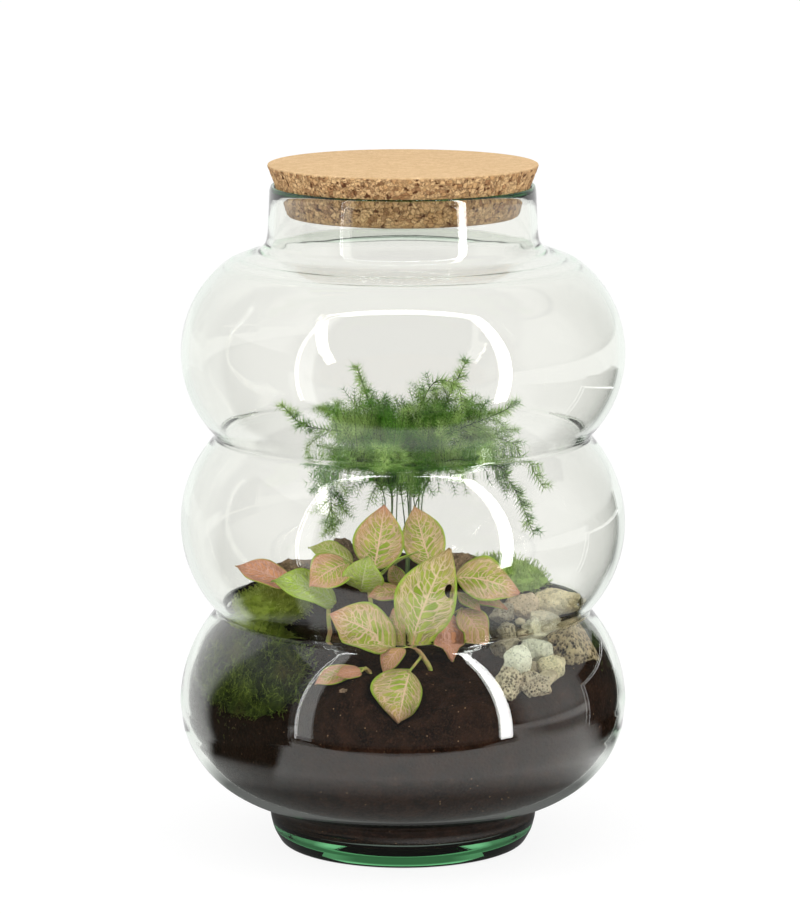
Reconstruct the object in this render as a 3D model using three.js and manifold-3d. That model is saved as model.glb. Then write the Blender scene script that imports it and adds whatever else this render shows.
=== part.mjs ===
import * as THREE from 'three';
import { mergeVertices } from 'three/addons/utils/BufferGeometryUtils.js';
import Module from 'manifold-3d';

// A planted glass jar with a cork stopper, in millimetres. +Z is up, -Y is the front, and the origin is the
// middle of the jar's underside. The jar is three stacked bulbs on a round foot, and it holds soil, moss,
// stones, bark, a nerve plant with netted leaves and an asparagus fern.

const wasm = await Module();
wasm.setup();

// Driving dimensions
const SEGMENTS = 24;
const SEAT_GAP = 0.35;
const WALL = 3.0;
const FLOOR_Z = 9.0;
const RIM_Z = 290.5;
const NECK_RADIUS = 57.8;
const NECK_BORE = 55.1;
const CORK = { bottomZ: 277.5, topZ: 300, bottomRadius: 50.3, topRadius: 59, edge: 0.7 };

// Each bulb is an arc about a centre ring. The outer and inner arcs end at other angles, where they meet the next.
const BULBS = [
  { r: 50.8, z: 62.5, radius: 47.2, squash: 0.945, outer: [-72, -14], inner: [-70, -14], steps: 3 },
  { r: 38.0, z: 62.5, radius: 60.0, squash: 1, outer: [0, 44], inner: [0, 46.6], steps: 3 },
  { r: 42.3, z: 142.8, radius: 55.0, squash: 1, outer: [-41, 44.5], inner: [-48, 48.2], steps: 5 },
  { r: 47.4, z: 217.5, radius: 49.5, squash: 1, outer: [-43.5, 54], inner: [-50.4, 54], steps: 6 },
];

// A fixed draw between 0 and 1 for each whole number, so that every build is the same
function draw(k) {
  const s = Math.sin(k * 12.9898) * 43758.5453;
  return s - Math.floor(s);
}

// The closed solid of a geometry, with its shared vertices merged
function solid(geometry) {
  const bare = geometry.clone();
  bare.deleteAttribute('normal');
  bare.deleteAttribute('uv');
  const merged = mergeVertices(bare, 1e-4);
  const mesh = new wasm.Mesh({
    numProp: 3,
    vertProperties: new Float32Array(merged.attributes.position.array),
    triVerts: new Uint32Array(merged.index.array),
  });
  return new wasm.Manifold(mesh);
}

function geometry(body) {
  const mesh = body.getMesh();
  const out = new THREE.BufferGeometry();
  out.setAttribute('position', new THREE.BufferAttribute(new Float32Array(mesh.vertProperties), 3));
  out.setIndex(new THREE.BufferAttribute(new Uint32Array(mesh.triVerts), 1));
  out.computeVertexNormals();
  return out;
}

function union(bodies) {
  return bodies.reduce((all, body) => all.add(body));
}

// A cut can leave loose scraps, and the piece is the largest of what is left
function largest(body) {
  return body.decompose().reduce((best, one) => (one.volume() > best.volume() ? one : best));
}

const group = new THREE.Group();

function place(name, shape, color, roughness = 0.8) {
  const material = new THREE.MeshStandardMaterial({ color, roughness, metalness: 0, flatShading: true });
  const mesh = new THREE.Mesh(shape, material);
  mesh.name = name;
  group.add(mesh);
}

// The jar

function arcPoints(bulb, [from, to], inset) {
  const points = [];
  for (let i = 0; i <= bulb.steps; i += 1) {
    const angle = THREE.MathUtils.degToRad(from + ((to - from) * i) / bulb.steps);
    const r = bulb.r + (bulb.radius - inset) * Math.cos(angle);
    const z = bulb.z + (bulb.radius * bulb.squash - inset) * Math.sin(angle);
    points.push([r, z]);
  }
  return points;
}

function outerProfile() {
  const foot = [[0, 0], [54, 0], [57.2, 5.7], [58.7, 11.5], [58.4, 15.5], [59.5, 18]];
  const bulbs = BULBS.flatMap((bulb) => arcPoints(bulb, bulb.outer, 0));
  const shoulder = [[70, 260.3], [63, 262.2], [59.6, 265.2], [58.7, 270]];
  const rim = [[NECK_RADIUS, RIM_Z - 0.9], [NECK_RADIUS - 0.7, RIM_Z]];
  return [...foot, ...bulbs, ...shoulder, ...rim];
}

// The cavity's outline from the floor to the neck, moved inwards from the glass by a gap
function cavityProfile(gap) {
  const inset = WALL + gap;
  const floor = [[0, FLOOR_Z + gap], [49, FLOOR_Z + gap], [52.5 - gap, 9.7 + gap]];
  const foot = [[54.8 - gap, 12.5], [55.4 - gap, 16.5 + gap], [58 - gap, 20 + gap]];
  const bulbs = BULBS.flatMap((bulb) => arcPoints(bulb, bulb.inner, inset));
  const shoulder = [[68.6, 257.5 - gap], [61, 259.4 - gap], [57 - gap, 262.6], [55.9 - gap, 268]];
  return [...floor, ...foot, ...bulbs, ...shoulder];
}

function revolve(profile) {
  const points = profile.map(([r, z]) => new THREE.Vector2(r, z));
  return new THREE.LatheGeometry(points, SEGMENTS).rotateX(Math.PI / 2);
}

function jar() {
  const bore = [[NECK_BORE, RIM_Z - 1.7], [NECK_BORE + 0.35, RIM_Z - 0.6], [NECK_BORE + 1.2, RIM_Z]];
  const inside = [...cavityProfile(0), ...bore].reverse();
  return revolve([...outerProfile(), ...inside]);
}

function stopper() {
  const { bottomZ, topZ, bottomRadius, topRadius, edge } = CORK;
  return revolve([
    [0, bottomZ], [bottomRadius - edge, bottomZ], [bottomRadius, bottomZ + edge],
    [topRadius, topZ - edge], [topRadius - edge, topZ], [0, topZ],
  ]);
}

// The ground

// Height of the soil: it rises to the back and falls away to both front corners
function groundZ(x, y) {
  const slope = 99 + 0.15 * y;
  const mound = 6 * Math.exp(-((x + 15) ** 2 + (y - 25) ** 2) / 1600);
  const left = 0.38 * Math.max(0, -1.3 * x - 0.7 * y - 80);
  const right = 0.14 * Math.max(0, x - y - 62);
  const lumps = 0.9 * Math.sin(0.13 * x + 1) * Math.cos(0.11 * y) + 0.5 * Math.sin(0.31 * x - 0.27 * y);
  return slope + mound - left - right + lumps;
}

// A disc of ground with rings of points, thick enough to reach below the jar's floor
function groundSlab() {
  const radii = [0, 20, 40, 57, 72, 84, 100];
  const profile = radii.map((r) => new THREE.Vector2(r, 1)).reverse();
  profile.unshift(new THREE.Vector2(radii.at(-1), 0), new THREE.Vector2(radii.at(-1), 0.5));
  profile.unshift(new THREE.Vector2(0, 0));
  const slab = new THREE.LatheGeometry(profile, SEGMENTS).rotateX(Math.PI / 2);
  const at = slab.attributes.position;
  for (let i = 0; i < at.count; i += 1) {
    const x = at.getX(i);
    const y = at.getY(i);
    at.setZ(i, at.getZ(i) * groundZ(x, y));
  }
  return slab;
}

// Stones, moss and bark

// A lump with rough facets, scaled to its three half-sizes and turned
function lump({ at, size, turn = 0, tilt = 0, detail = 1, rough = 0.12, seed = 1 }) {
  const shape = new THREE.IcosahedronGeometry(1, detail);
  const points = shape.attributes.position;
  const v = new THREE.Vector3();
  for (let i = 0; i < points.count; i += 1) {
    v.fromBufferAttribute(points, i);
    const wave = Math.sin(4.1 * v.x + seed) + Math.sin(5.3 * v.y + 2.1 * seed) + Math.sin(4.7 * v.z - seed);
    const grain = Math.sin(13 * v.x + 3 * seed) * Math.sin(11 * v.y) * Math.sin(12 * v.z + seed);
    v.multiplyScalar(1 + rough * (0.45 * wave + grain));
    points.setXYZ(i, v.x, v.y, v.z);
  }
  shape.scale(...size);
  shape.rotateY(THREE.MathUtils.degToRad(tilt));
  shape.rotateZ(THREE.MathUtils.degToRad(turn));
  shape.translate(...at);
  return shape;
}

// The same lump, larger by the seat gap on every side
function grownLump(item) {
  const size = item.size.map((half) => half + SEAT_GAP * 1.3);
  return solid(lump({ ...item, size }));
}

const SEAT_BITE = 0.4;

// The lump lowered in small steps until it bites into what is laid below it
function settled(item, below) {
  const [x, y] = item.at;
  let low = item;
  while (solid(lump(low)).intersect(below).volume() < SEAT_BITE) {
    low = { ...item, at: [x, y, low.at[2] - SEAT_BITE] };
  }
  return low;
}

const STONES = [
  { name: 'stone_long', at: [70, 3, 106], size: [12, 6, 6.5], turn: 4, tilt: 4, rough: 0.08, color: 0xcbbd93 },
  { name: 'stone_porous', at: [73, -31, 94], size: [11, 9, 12.5], turn: -30, rough: 0.12, color: 0xa89568 },
  { name: 'stone_reddish', at: [53, -5, 106], size: [6.5, 5.5, 6], turn: 20, rough: 0.1, color: 0xbfa98c },
  { name: 'stone_grey', at: [44, -13, 104.5], size: [5.2, 5, 4.8], turn: 50, rough: 0.14, color: 0x8c8474 },
  { name: 'stone_slab', at: [63, -13, 102.5], size: [8.5, 6, 4], turn: 8, tilt: 10, rough: 0.08, color: 0xbab093 },
  { name: 'stone_pale', at: [56, -25, 101], size: [7, 5.4, 6.2], turn: -20, tilt: -20, rough: 0.1, color: 0xcfc9a4 },
  { name: 'stone_round', at: [44, -37, 99], size: [6, 5.4, 7], turn: 15, rough: 0.08, color: 0x9a9782 },
  { name: 'stone_green', at: [57.5, -44, 95], size: [6, 5.5, 6], turn: 30, rough: 0.1, color: 0xbcc1a6 },
  { name: 'stone_oval', at: [63.5, -53, 89], size: [5.2, 4.4, 5], turn: -25, tilt: 20, rough: 0.07, color: 0xcabf92 },
  { name: 'stone_angular', at: [48, -56, 92.5], size: [5.6, 5, 6.6], turn: 40, tilt: 12, rough: 0.13, color: 0xd0c79f },
  { name: 'stone_low', at: [44, -70, 85], size: [6.6, 5.4, 7.6], turn: -15, rough: 0.13, color: 0xb9ab87 },
  { name: 'stone_flake', at: [55.5, -66.5, 83.5], size: [7.2, 4.2, 7], turn: 30, tilt: -25, rough: 0.12, color: 0x9f9a80 },
];

const BARK = [
  { name: 'bark_left', at: [-45, 20, 114.5], size: [16, 7, 7.5], turn: 12, rough: 0.17, color: 0x76624c },
  { name: 'bark_middle', at: [-27, 36, 117], size: [7, 6, 10], turn: -20, rough: 0.17, color: 0x6b5a49 },
  { name: 'bark_right', at: [24, 31, 115], size: [11, 5.5, 7], turn: 16, rough: 0.17, color: 0x8a6d52 },
  { name: 'bark_chip', at: [-22, -80, 84.5], size: [5, 3, 1.5], turn: 12, rough: 0.1, color: 0x8d6b4c },
];

// Moss cushions, rounder than the stones and flattened against the glass where they meet it
const MOSS = [
  { name: 'moss_front_left', at: [-67, -47, 79], size: [29, 32, 21], turn: 35, detail: 2, color: 0x3b4f17 },
  { name: 'moss_left_mound', at: [-58, -8, 103], size: [18, 17, 12], turn: 10, color: 0x6d8433 },
  { name: 'moss_back_right', at: [43, 45, 105.5], size: [26, 15, 14], turn: -12, detail: 2, color: 0x7d9a4c },
  { name: 'moss_right_edge', at: [83, -19, 89], size: [10, 14, 13], turn: 10, color: 0x4a5a22 },
].map((item) => ({ ...item, rough: 0.06 }));

// Leaves

const LEAF = { broad: 12, thickness: 0.8, petiole: 0.42, stem: 0.9, joints: 5 };
const ROOT_DEPTH = 8;
const HOLE_GAP = 0.65;

// Half the blade's width at u along it, from the petiole at 0 to the tip at 1
function halfWidth(width, u) {
  return 0.5 * width * Math.max(0.05, Math.sin(Math.PI * u ** 0.8) ** 0.75);
}

// The frame of a leaf: an ovate blade from base to tip, whose upper face looks along `face`
function leafFrame({ base, tip, face }) {
  const start = new THREE.Vector3(...base);
  const along = new THREE.Vector3(...tip).sub(start);
  const length = along.length();
  along.normalize();
  const side = new THREE.Vector3().crossVectors(along, new THREE.Vector3(...face)).normalize();
  const up = new THREE.Vector3().crossVectors(side, along);
  return { start, along, side, up, length };
}

// The middle of the blade at u along it and v across it, from -1 to 1. The blade bows by `arch` along its
// midrib, its halves lift by `fold`, and its margin waves.
function bladePoint({ width, arch = 2, fold = 0.12, wave = 0.05 }, frame, u, v) {
  const reach = halfWidth(width, u) * v;
  const bow = arch * 4 * u * (1 - u) + fold * Math.abs(reach);
  const ripple = wave * width * Math.sin(9 * u + 2 * v) * v * v;
  const at = frame.start.clone().addScaledVector(frame.along, frame.length * u);
  return at.addScaledVector(frame.side, reach).addScaledVector(frame.up, bow + ripple);
}

function blade(leaf, thickness = LEAF.thickness) {
  const frame = leafFrame(leaf);
  const columns = leaf.width > LEAF.broad ? 4 : 2;
  const rows = leaf.width > LEAF.broad ? 5 : 4;
  const across = columns + 1;
  const points = [];
  for (const lift of [thickness / 2, -thickness / 2]) {
    for (let i = 0; i <= rows; i += 1) {
      for (let j = 0; j <= columns; j += 1) {
        const at = bladePoint(leaf, frame, i / rows, (2 * j) / columns - 1).addScaledVector(frame.up, lift);
        points.push(at.x, at.y, at.z);
      }
    }
  }
  const faces = [];
  const under = across * (rows + 1);
  for (let i = 0; i < rows; i += 1) {
    for (let j = 0; j < columns; j += 1) {
      const a = i * across + j;
      const b = a + 1;
      const c = a + across + 1;
      const d = a + across;
      faces.push(a, b, c, a, c, d);
      faces.push(under + a, under + c, under + b, under + a, under + d, under + c);
    }
  }
  const edge = [];
  for (let j = 0; j < columns; j += 1) edge.push(j);
  for (let i = 0; i < rows; i += 1) edge.push(i * across + columns);
  for (let j = columns; j > 0; j -= 1) edge.push(rows * across + j);
  for (let i = rows; i > 0; i -= 1) edge.push(i * across);
  edge.forEach((a, k) => {
    const b = edge[(k + 1) % edge.length];
    faces.push(a, under + a, under + b, a, under + b, b);
  });
  const shape = new THREE.BufferGeometry();
  shape.setAttribute('position', new THREE.Float32BufferAttribute(points, 3));
  shape.setIndex(faces);
  return outward(shape);
}

// Turns the faces round where the solid would be inside out
function outward(shape) {
  const body = solid(shape);
  return body.volume() < 0 ? solid(flipped(shape)) : body;
}

function flipped(shape) {
  const index = shape.index.array;
  for (let i = 0; i < index.length; i += 3) {
    [index[i], index[i + 1]] = [index[i + 1], index[i]];
  }
  return shape;
}

function smooth(path) {
  return new THREE.CatmullRomCurve3(path.map((p) => new THREE.Vector3(...p)));
}

// A rod with few sides along a smooth path
function rod(path, radius, sides, steps) {
  const ring = [];
  for (let i = 0; i < sides; i += 1) {
    const angle = (2 * Math.PI * i) / sides;
    ring.push(new THREE.Vector2(radius * Math.cos(angle), radius * Math.sin(angle)));
  }
  const options = { steps, extrudePath: smooth(path), bevelEnabled: false };
  return solid(new THREE.ExtrudeGeometry(new THREE.Shape(ring), options));
}

const HANGING_LEAF = {
  node: 0, base: [3, -75, 92], tip: [-2, -88, 72.5], width: 25, face: [-0.2, -0.8, -0.5], arch: 2,
};
const POCKET = { wider: 1.1, longer: 1.06, depth: 13 };

// Each stem stands in its hole at `foot` and climbs through `nodes`. A leaf grows from the node that it names.
const LEAF_STEMS = [
  {
    name: 'nerve_plant_front',
    foot: [11.5, -60],
    nodes: [[8, -61, 95], [2.5, -60, 100.5]],
    leaves: [
      { node: 1, base: [4, -60.5, 103], tip: [20, -54, 141], width: 27, face: [-0.3, -0.9, 0.3], arch: 3 },
      { node: 1, base: [-4, -59.5, 99.5], tip: [-31.5, -62, 114.5], width: 24, face: [0.1, -0.75, 0.7], arch: 3 },
      { node: 1, base: [0.5, -58, 103], tip: [-4, -51, 114.5], width: 10, face: [-0.7, -0.7, 0.2] },
      { node: 1, base: [0, -61, 98.5], tip: [-8.5, -67, 89], width: 10.5, face: [-0.5, -0.7, 0.3] },
      HANGING_LEAF,
    ],
  },
  {
    name: 'nerve_plant_middle',
    foot: [-12, -35],
    nodes: [[-13, -37, 108], [-14.5, -38, 119]],
    leaves: [
      { node: 1, base: [-12.5, -34.5, 128], tip: [-8, -28, 155], width: 22, face: [-0.1, -0.9, 0.3], arch: -2 },
      { node: 1, base: [-18, -41, 120], tip: [-15, -54, 134], width: 18, face: [0, -0.4, 0.9] },
      { node: 1, base: [-24, -38, 131], tip: [-40, -47, 123], width: 19, face: [-0.1, -0.8, 0.6], arch: 3 },
      { node: 1, base: [-22, -30, 130], tip: [-41, -24, 135.5], width: 13, face: [0, -0.4, 0.9] },
      { node: 1, base: [-10.5, -40.5, 126], tip: [6.5, -45, 138], width: 9, face: [-0.4, 0.2, 0.85], arch: 1 },
    ],
  },
  {
    name: 'nerve_plant_centre',
    foot: [5, -42],
    nodes: [[4.5, -42, 106], [4, -42, 117]],
    leaves: [
      { node: 1, base: [12, -32, 129], tip: [5, -25, 154], width: 19, face: [0.1, -0.9, 0.3], arch: -2 },
      { node: 1, base: [-1, -44.5, 119.5], tip: [-15, -47, 118.5], width: 9.5, face: [-0.1, -0.7, 0.7] },
      { node: 1, base: [0.5, -38, 121], tip: [-5.5, -34, 130], width: 8, face: [-0.4, -0.8, 0.3] },
    ],
  },
  {
    name: 'nerve_plant_right',
    foot: [20, -36],
    nodes: [[20.5, -38, 108], [21, -40, 119]],
    leaves: [
      { node: 1, base: [22.5, -42, 126], tip: [50, -38, 118], width: 23, face: [0.1, -0.65, 0.75], arch: 3 },
      { node: 0, base: [17, -46, 112], tip: [21, -56, 91.5], width: 14, face: [0.3, -0.85, 0.3], arch: 1.5 },
      { node: 0, base: [25, -44, 112.5], tip: [35, -52, 98], width: 14, face: [0.3, -0.8, 0.5], arch: 2 },
      { node: 1, base: [24, -43, 118.5], tip: [33, -48, 112.5], width: 8, face: [0.2, -0.8, 0.6], arch: 1 },
      { node: 1, base: [27, -36, 117], tip: [45, -36, 110.5], width: 9, face: [0.2, -0.5, 0.8], arch: 1.5 },
    ],
  },
  {
    name: 'nerve_plant_left',
    foot: [-31, -32],
    nodes: [[-32, -33, 104], [-32, -33, 111]],
    leaves: [
      { node: 1, base: [-29, -39, 114], tip: [-56, -44, 125], width: 20, face: [0.2, -0.5, 0.85], arch: 3 },
      { node: 1, base: [-49, -22, 118], tip: [-73, -13, 125], width: 15, face: [0.2, -0.6, 0.8], arch: 2 },
    ],
  },
  {
    name: 'nerve_plant_low',
    foot: [-14, -68],
    nodes: [[-15, -69.5, 91], [-16, -70.5, 92]],
    leaves: [
      { node: 1, base: [-17.5, -72, 91], tip: [-28, -77, 90], width: 10, face: [0, -0.6, 0.8], arch: 1 },
      { node: 1, base: [-21, -68, 91], tip: [-37, -76, 86.5], width: 10, face: [0.1, -0.6, 0.8], arch: 1 },
    ],
  },
];

// The upright stretch of a stem in the soil
function root([x, y]) {
  const top = groundZ(x, y);
  return [[x, y, top - ROOT_DEPTH], [x, y, top - ROOT_DEPTH / 2], [x, y, top + 0.5]];
}

function leafyStem({ foot, nodes, leaves }) {
  const path = [...root(foot), ...nodes];
  const joints = smooth(path).getSpacedPoints(LEAF.joints);
  const bodies = [rod(path, LEAF.stem, 5, LEAF.joints)];
  leaves.forEach((leaf) => {
    const node = new THREE.Vector3(...nodes[leaf.node]);
    const start = joints.reduce((best, one) => (one.distanceTo(node) < best.distanceTo(node) ? one : best));
    const end = bladePoint(leaf, leafFrame(leaf), 0.06, 0);
    bodies.push(rod([start.toArray(), leaf.base, end.toArray()], LEAF.petiole, 3, 2));
    bodies.push(blade(leaf));
  });
  return union(bodies);
}

// Fern

const FERN = { stem: 0.5, steps: 8, twig: 0.4, root: 0.8, needle: 4.6, end: 6 };
const TWIGS = { count: 7, first: 0.46, last: 0.95, longest: 19, shortest: 8, spread: 4, droop: 0.08 };

// Each frond is a wiry stem that rises from its foot in the soil through these points to its furthest tip
const FRONDS = [
  { name: 'fern_frond_left_tip', foot: [-4, 15], path: [[-6, 12, 158], [-22, 4, 178], [-43, -3, 185], [-53, -6, 195]] },
  { name: 'fern_frond_front_left', foot: [-3, 11], path: [[-5, 6, 156], [-18, -10, 172], [-41, -30, 172]] },
  { name: 'fern_frond_front', foot: [0, 9], path: [[-1, 2, 158], [-4, -18, 176], [-8, -45, 178]] },
  { name: 'fern_frond_front_right', foot: [3, 11], path: [[5, 5, 156], [17, -12, 172], [37, -32, 176]] },
  { name: 'fern_frond_right_tip', foot: [5, 15], path: [[8, 12, 158], [22, 6, 179], [37, 3, 187], [51, 3, 194]] },
  { name: 'fern_frond_right_droop', foot: [6, 19], path: [[10, 17, 156], [28, 12, 176], [49, 10, 173], [62, 8, 156]] },
  { name: 'fern_frond_right_low', foot: [3, 20], path: [[8, 22, 152], [26, 20, 167], [46, 17, 159], [58, 13, 134]] },
  { name: 'fern_frond_upright_left', foot: [-2, 14], path: [[-3, 12, 165], [-12, 6, 186], [-20, 0, 211]] },
  { name: 'fern_frond_curl', foot: [1, 13], path: [[2, 10, 168], [7, 4, 190], [14, 0, 204], [24, -2, 202], [26, -2, 188]] },
  { name: 'fern_frond_upright_right', foot: [2, 16], path: [[5, 15, 170], [16, 10, 188], [28, 6, 213]] },
  { name: 'fern_frond_back_left', foot: [-3, 22], path: [[-6, 26, 158], [-18, 38, 177], [-38, 56, 182]] },
  { name: 'fern_frond_back_right', foot: [1, 23], path: [[4, 28, 158], [14, 40, 176], [32, 58, 184]] },
  { name: 'fern_frond_low_left', foot: [-5, 24], path: [[-9, 24, 152], [-23, 20, 166], [-35, 14, 158], [-38, 10, 136]] },
];

// The straight pieces laid so far: stems, twigs and needles, each with its frond's name
const FEELERS = [];

// True where a straight piece lies clear of the pieces of every other frond
function isClear(piece) {
  return FEELERS.every((other) => other.frond === piece.frond || distance(piece, other) > piece.r + other.r + 0.3);
}

// Shortest distance between two straight pieces, by alternate projection from several starts
function distance(p, q) {
  const lineP = new THREE.Line3(p.a, p.b);
  const lineQ = new THREE.Line3(q.a, q.b);
  const onP = new THREE.Vector3();
  const onQ = new THREE.Vector3();
  let best = Infinity;
  for (const start of [0, 0.5, 1]) {
    lineP.at(start, onP);
    for (let turn = 0; turn < 6; turn += 1) {
      lineQ.closestPointToPoint(onP, true, onQ);
      lineP.closestPointToPoint(onQ, true, onP);
    }
    best = Math.min(best, onP.distanceTo(onQ));
  }
  return best;
}

// A three-sided twig from a to b that carries whorls of needles. Each needle is a facet of the twig drawn out
// to a point, and the last one is the twig's own end.
function sprig(a, b, whorls, frondName) {
  const ahead = b.clone().sub(a).normalize();
  const aside = new THREE.Vector3(ahead.y, -ahead.x, 0.3).cross(ahead).normalize();
  const rings = [0];
  for (let k = 0; k < whorls; k += 1) {
    const along = 0.3 + (0.62 * k) / Math.max(1, whorls - 1);
    rings.push(along, along + FERN.root / a.distanceTo(b));
  }
  const points = [];
  rings.forEach((along, k) => {
    for (let side = 0; side < 3; side += 1) {
      const out = aside.clone().applyAxisAngle(ahead, (2 * Math.PI * side) / 3 + 0.35 * k);
      points.push(a.clone().lerp(b, along).addScaledVector(out, FERN.twig));
    }
  });
  const faces = [0, 2, 1];
  const drawOut = (i, j, k, way) => {
    const middle = points[i].clone().add(points[j]).add(points[k]).divideScalar(3);
    const tip = middle.clone().addScaledVector(way, FERN.needle);
    const piece = { a: middle, b: tip, r: FERN.twig, frond: frondName };
    if (isClear(piece)) {
      FEELERS.push(piece);
      points.push(tip);
      const end = points.length - 1;
      faces.push(i, j, end, j, k, end, k, i, end);
    } else {
      faces.push(i, j, k);
    }
  };
  for (let ring = 0; ring + 1 < rings.length; ring += 1) {
    for (let side = 0; side < 3; side += 1) {
      const i = 3 * ring + side;
      const j = 3 * ring + ((side + 1) % 3);
      if (ring % 2) {
        const out = aside.clone().applyAxisAngle(ahead, (2 * Math.PI * (side + 0.5)) / 3 + 0.35 * ring);
        drawOut(i, j, i + 3, out.addScaledVector(ahead, 0.6).normalize());
      } else {
        faces.push(i, j, i + 3);
      }
      faces.push(j, j + 3, i + 3);
    }
  }
  const last = 3 * (rings.length - 1);
  drawOut(last, last + 1, last + 2, ahead);
  const shape = new THREE.BufferGeometry();
  shape.setAttribute('position', new THREE.Float32BufferAttribute(points.flatMap((p) => p.toArray()), 3));
  shape.setIndex(faces);
  return outward(shape);
}

// A frond's path ends at its furthest tip, so the stem stops short of it by the end twig and its needle
function stemPath(item) {
  const [beforeLast, last] = item.path.slice(-2).map((p) => new THREE.Vector3(...p));
  const short = 1 - (FERN.end + FERN.needle) / beforeLast.distanceTo(last);
  return [...root(item.foot), ...item.path.slice(0, -1), beforeLast.lerp(last, short).toArray()];
}

// The straight pieces that the frond's stem is built from, as one path
function wireOf(item) {
  const points = smooth(stemPath(item)).getSpacedPoints(FERN.steps);
  const wire = new THREE.CurvePath();
  points.slice(1).forEach((b, i) => wire.add(new THREE.LineCurve3(points[i], b)));
  return wire;
}

function feelAlong(item) {
  return wireOf(item).curves.map(({ v1, v2 }) => ({ a: v1, b: v2, r: FERN.stem, frond: item.name }));
}

// Twigs leave the stem on both sides in turn, shorter towards its tip, which is a twig itself
function frond(item, seed) {
  const wire = wireOf(item);
  const bodies = [rod(stemPath(item), FERN.stem, 3, FERN.steps)];
  const up = new THREE.Vector3(0, 0, 1);
  for (let k = 0; k < TWIGS.count; k += 1) {
    const outwards = k / (TWIGS.count - 1);
    const t = THREE.MathUtils.lerp(TWIGS.first, TWIGS.last, outwards);
    const at = wire.getPointAt(t);
    const ahead = wire.getTangentAt(t);
    const side = new THREE.Vector3().crossVectors(ahead, up).normalize();
    side.multiplyScalar(k % 2 ? 1 : -1).applyAxisAngle(ahead, 0.9 * (draw(seed + k) - 0.5));
    const plain = THREE.MathUtils.lerp(TWIGS.longest, TWIGS.shortest, outwards);
    const reach = plain + TWIGS.spread * draw(seed + 20 + k);
    const tip = at.clone().addScaledVector(side.addScaledVector(ahead, 0.75).normalize(), reach);
    tip.z -= TWIGS.droop * reach;
    const twig = { a: at, b: tip, r: FERN.twig, frond: item.name };
    if (isClear(twig)) {
      FEELERS.push(twig);
      bodies.push(sprig(at, tip, k < 2 ? 3 : 2, item.name));
    }
  }
  const end = wire.getPointAt(0.995);
  bodies.push(sprig(end, end.clone().addScaledVector(wire.getTangentAt(1), FERN.end), 2, item.name));
  return union(bodies);
}

// Assembly

function soil(cavity, holes) {
  const slab = outward(groundSlab());
  return largest(cavity.intersect(slab).subtract(holes).subtract(leafPocket()));
}

// The hanging leaf lies in a pocket of its own outline, pressed into the soil at the front glass
function leafPocket() {
  const { base, tip, width, ...rest } = HANGING_LEAF;
  const reach = new THREE.Vector3(...tip).sub(new THREE.Vector3(...base)).multiplyScalar(POCKET.longer);
  const end = reach.add(new THREE.Vector3(...base)).toArray();
  return blade({ ...rest, base, tip: end, width: width * POCKET.wider }, POCKET.depth);
}

const hollow = (gap) => outward(revolve([...cavityProfile(gap), [0, 262]]));
const cavity = hollow(SEAT_GAP);
const innerCavity = hollow(2 * SEAT_GAP);
const stems = LEAF_STEMS.map((item) => ({ foot: item.foot, radius: LEAF.stem }));
const wires = FRONDS.map((item) => ({ foot: item.foot, radius: FERN.stem }));
const holes = [...stems, ...wires].map(({ foot, radius }) => {
  const [x, y] = foot;
  const top = groundZ(x, y);
  return rod([[x, y, top - ROOT_DEPTH - SEAT_GAP], [x, y, top + 6]], radius + HOLE_GAP, 5, 1);
});
const bed = soil(cavity, union(holes));
const raisedBed = bed.translate([0, 0, SEAT_GAP]);

place('glass_jar', geometry(outward(jar())), 0xdfe8e0, 0.05);
place('cork_stopper', geometry(outward(stopper())), 0xc79a66, 0.9);
place('soil', geometry(bed), 0x2b201b, 1);

// Each lump rests on the bed and against the ones laid before it
let laid = bed.add(raisedBed);
[...STONES, ...BARK, ...MOSS].forEach((item) => {
  const low = settled(item, laid);
  const body = largest(solid(lump(low)).intersect(innerCavity).subtract(laid));
  place(low.name, geometry(body), low.color, 0.9);
  laid = laid.add(grownLump(low));
});

LEAF_STEMS.forEach((item) => place(item.name, geometry(leafyStem(item)), 0xa3ab45, 0.6));

FRONDS.forEach((item) => FEELERS.push(...feelAlong(item)));
FRONDS.forEach((item, i) => place(item.name, geometry(frond(item, 100 * i)), 0x4d7a2c, 0.8));

export default group;
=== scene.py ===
import bisect
import random
from math import atan2, cos, degrees, dist, exp, hypot, pi, radians, sin, tau

import bmesh
import bpy
from mathutils import Matrix, Vector
from mathutils.noise import noise, voronoi


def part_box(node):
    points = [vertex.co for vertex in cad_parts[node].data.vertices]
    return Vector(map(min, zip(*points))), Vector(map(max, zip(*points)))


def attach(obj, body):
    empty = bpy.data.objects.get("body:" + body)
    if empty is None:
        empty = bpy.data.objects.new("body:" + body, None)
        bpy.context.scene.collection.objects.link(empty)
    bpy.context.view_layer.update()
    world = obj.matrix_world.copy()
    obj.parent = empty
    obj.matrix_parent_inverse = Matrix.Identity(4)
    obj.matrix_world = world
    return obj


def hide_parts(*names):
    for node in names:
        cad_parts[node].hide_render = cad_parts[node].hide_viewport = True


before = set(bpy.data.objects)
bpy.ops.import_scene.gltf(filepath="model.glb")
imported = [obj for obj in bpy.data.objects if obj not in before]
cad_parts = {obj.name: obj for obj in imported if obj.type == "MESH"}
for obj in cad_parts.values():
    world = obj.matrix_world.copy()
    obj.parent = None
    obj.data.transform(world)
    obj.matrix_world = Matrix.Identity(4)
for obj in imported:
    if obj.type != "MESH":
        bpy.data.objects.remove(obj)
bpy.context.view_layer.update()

# Glass jar. One piece of clear soda glass blown in a mould: three round bulbs stacked on a thick solid foot,
# with a short straight neck and a fire-polished rim. The walls are 3 mm thick.

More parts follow.
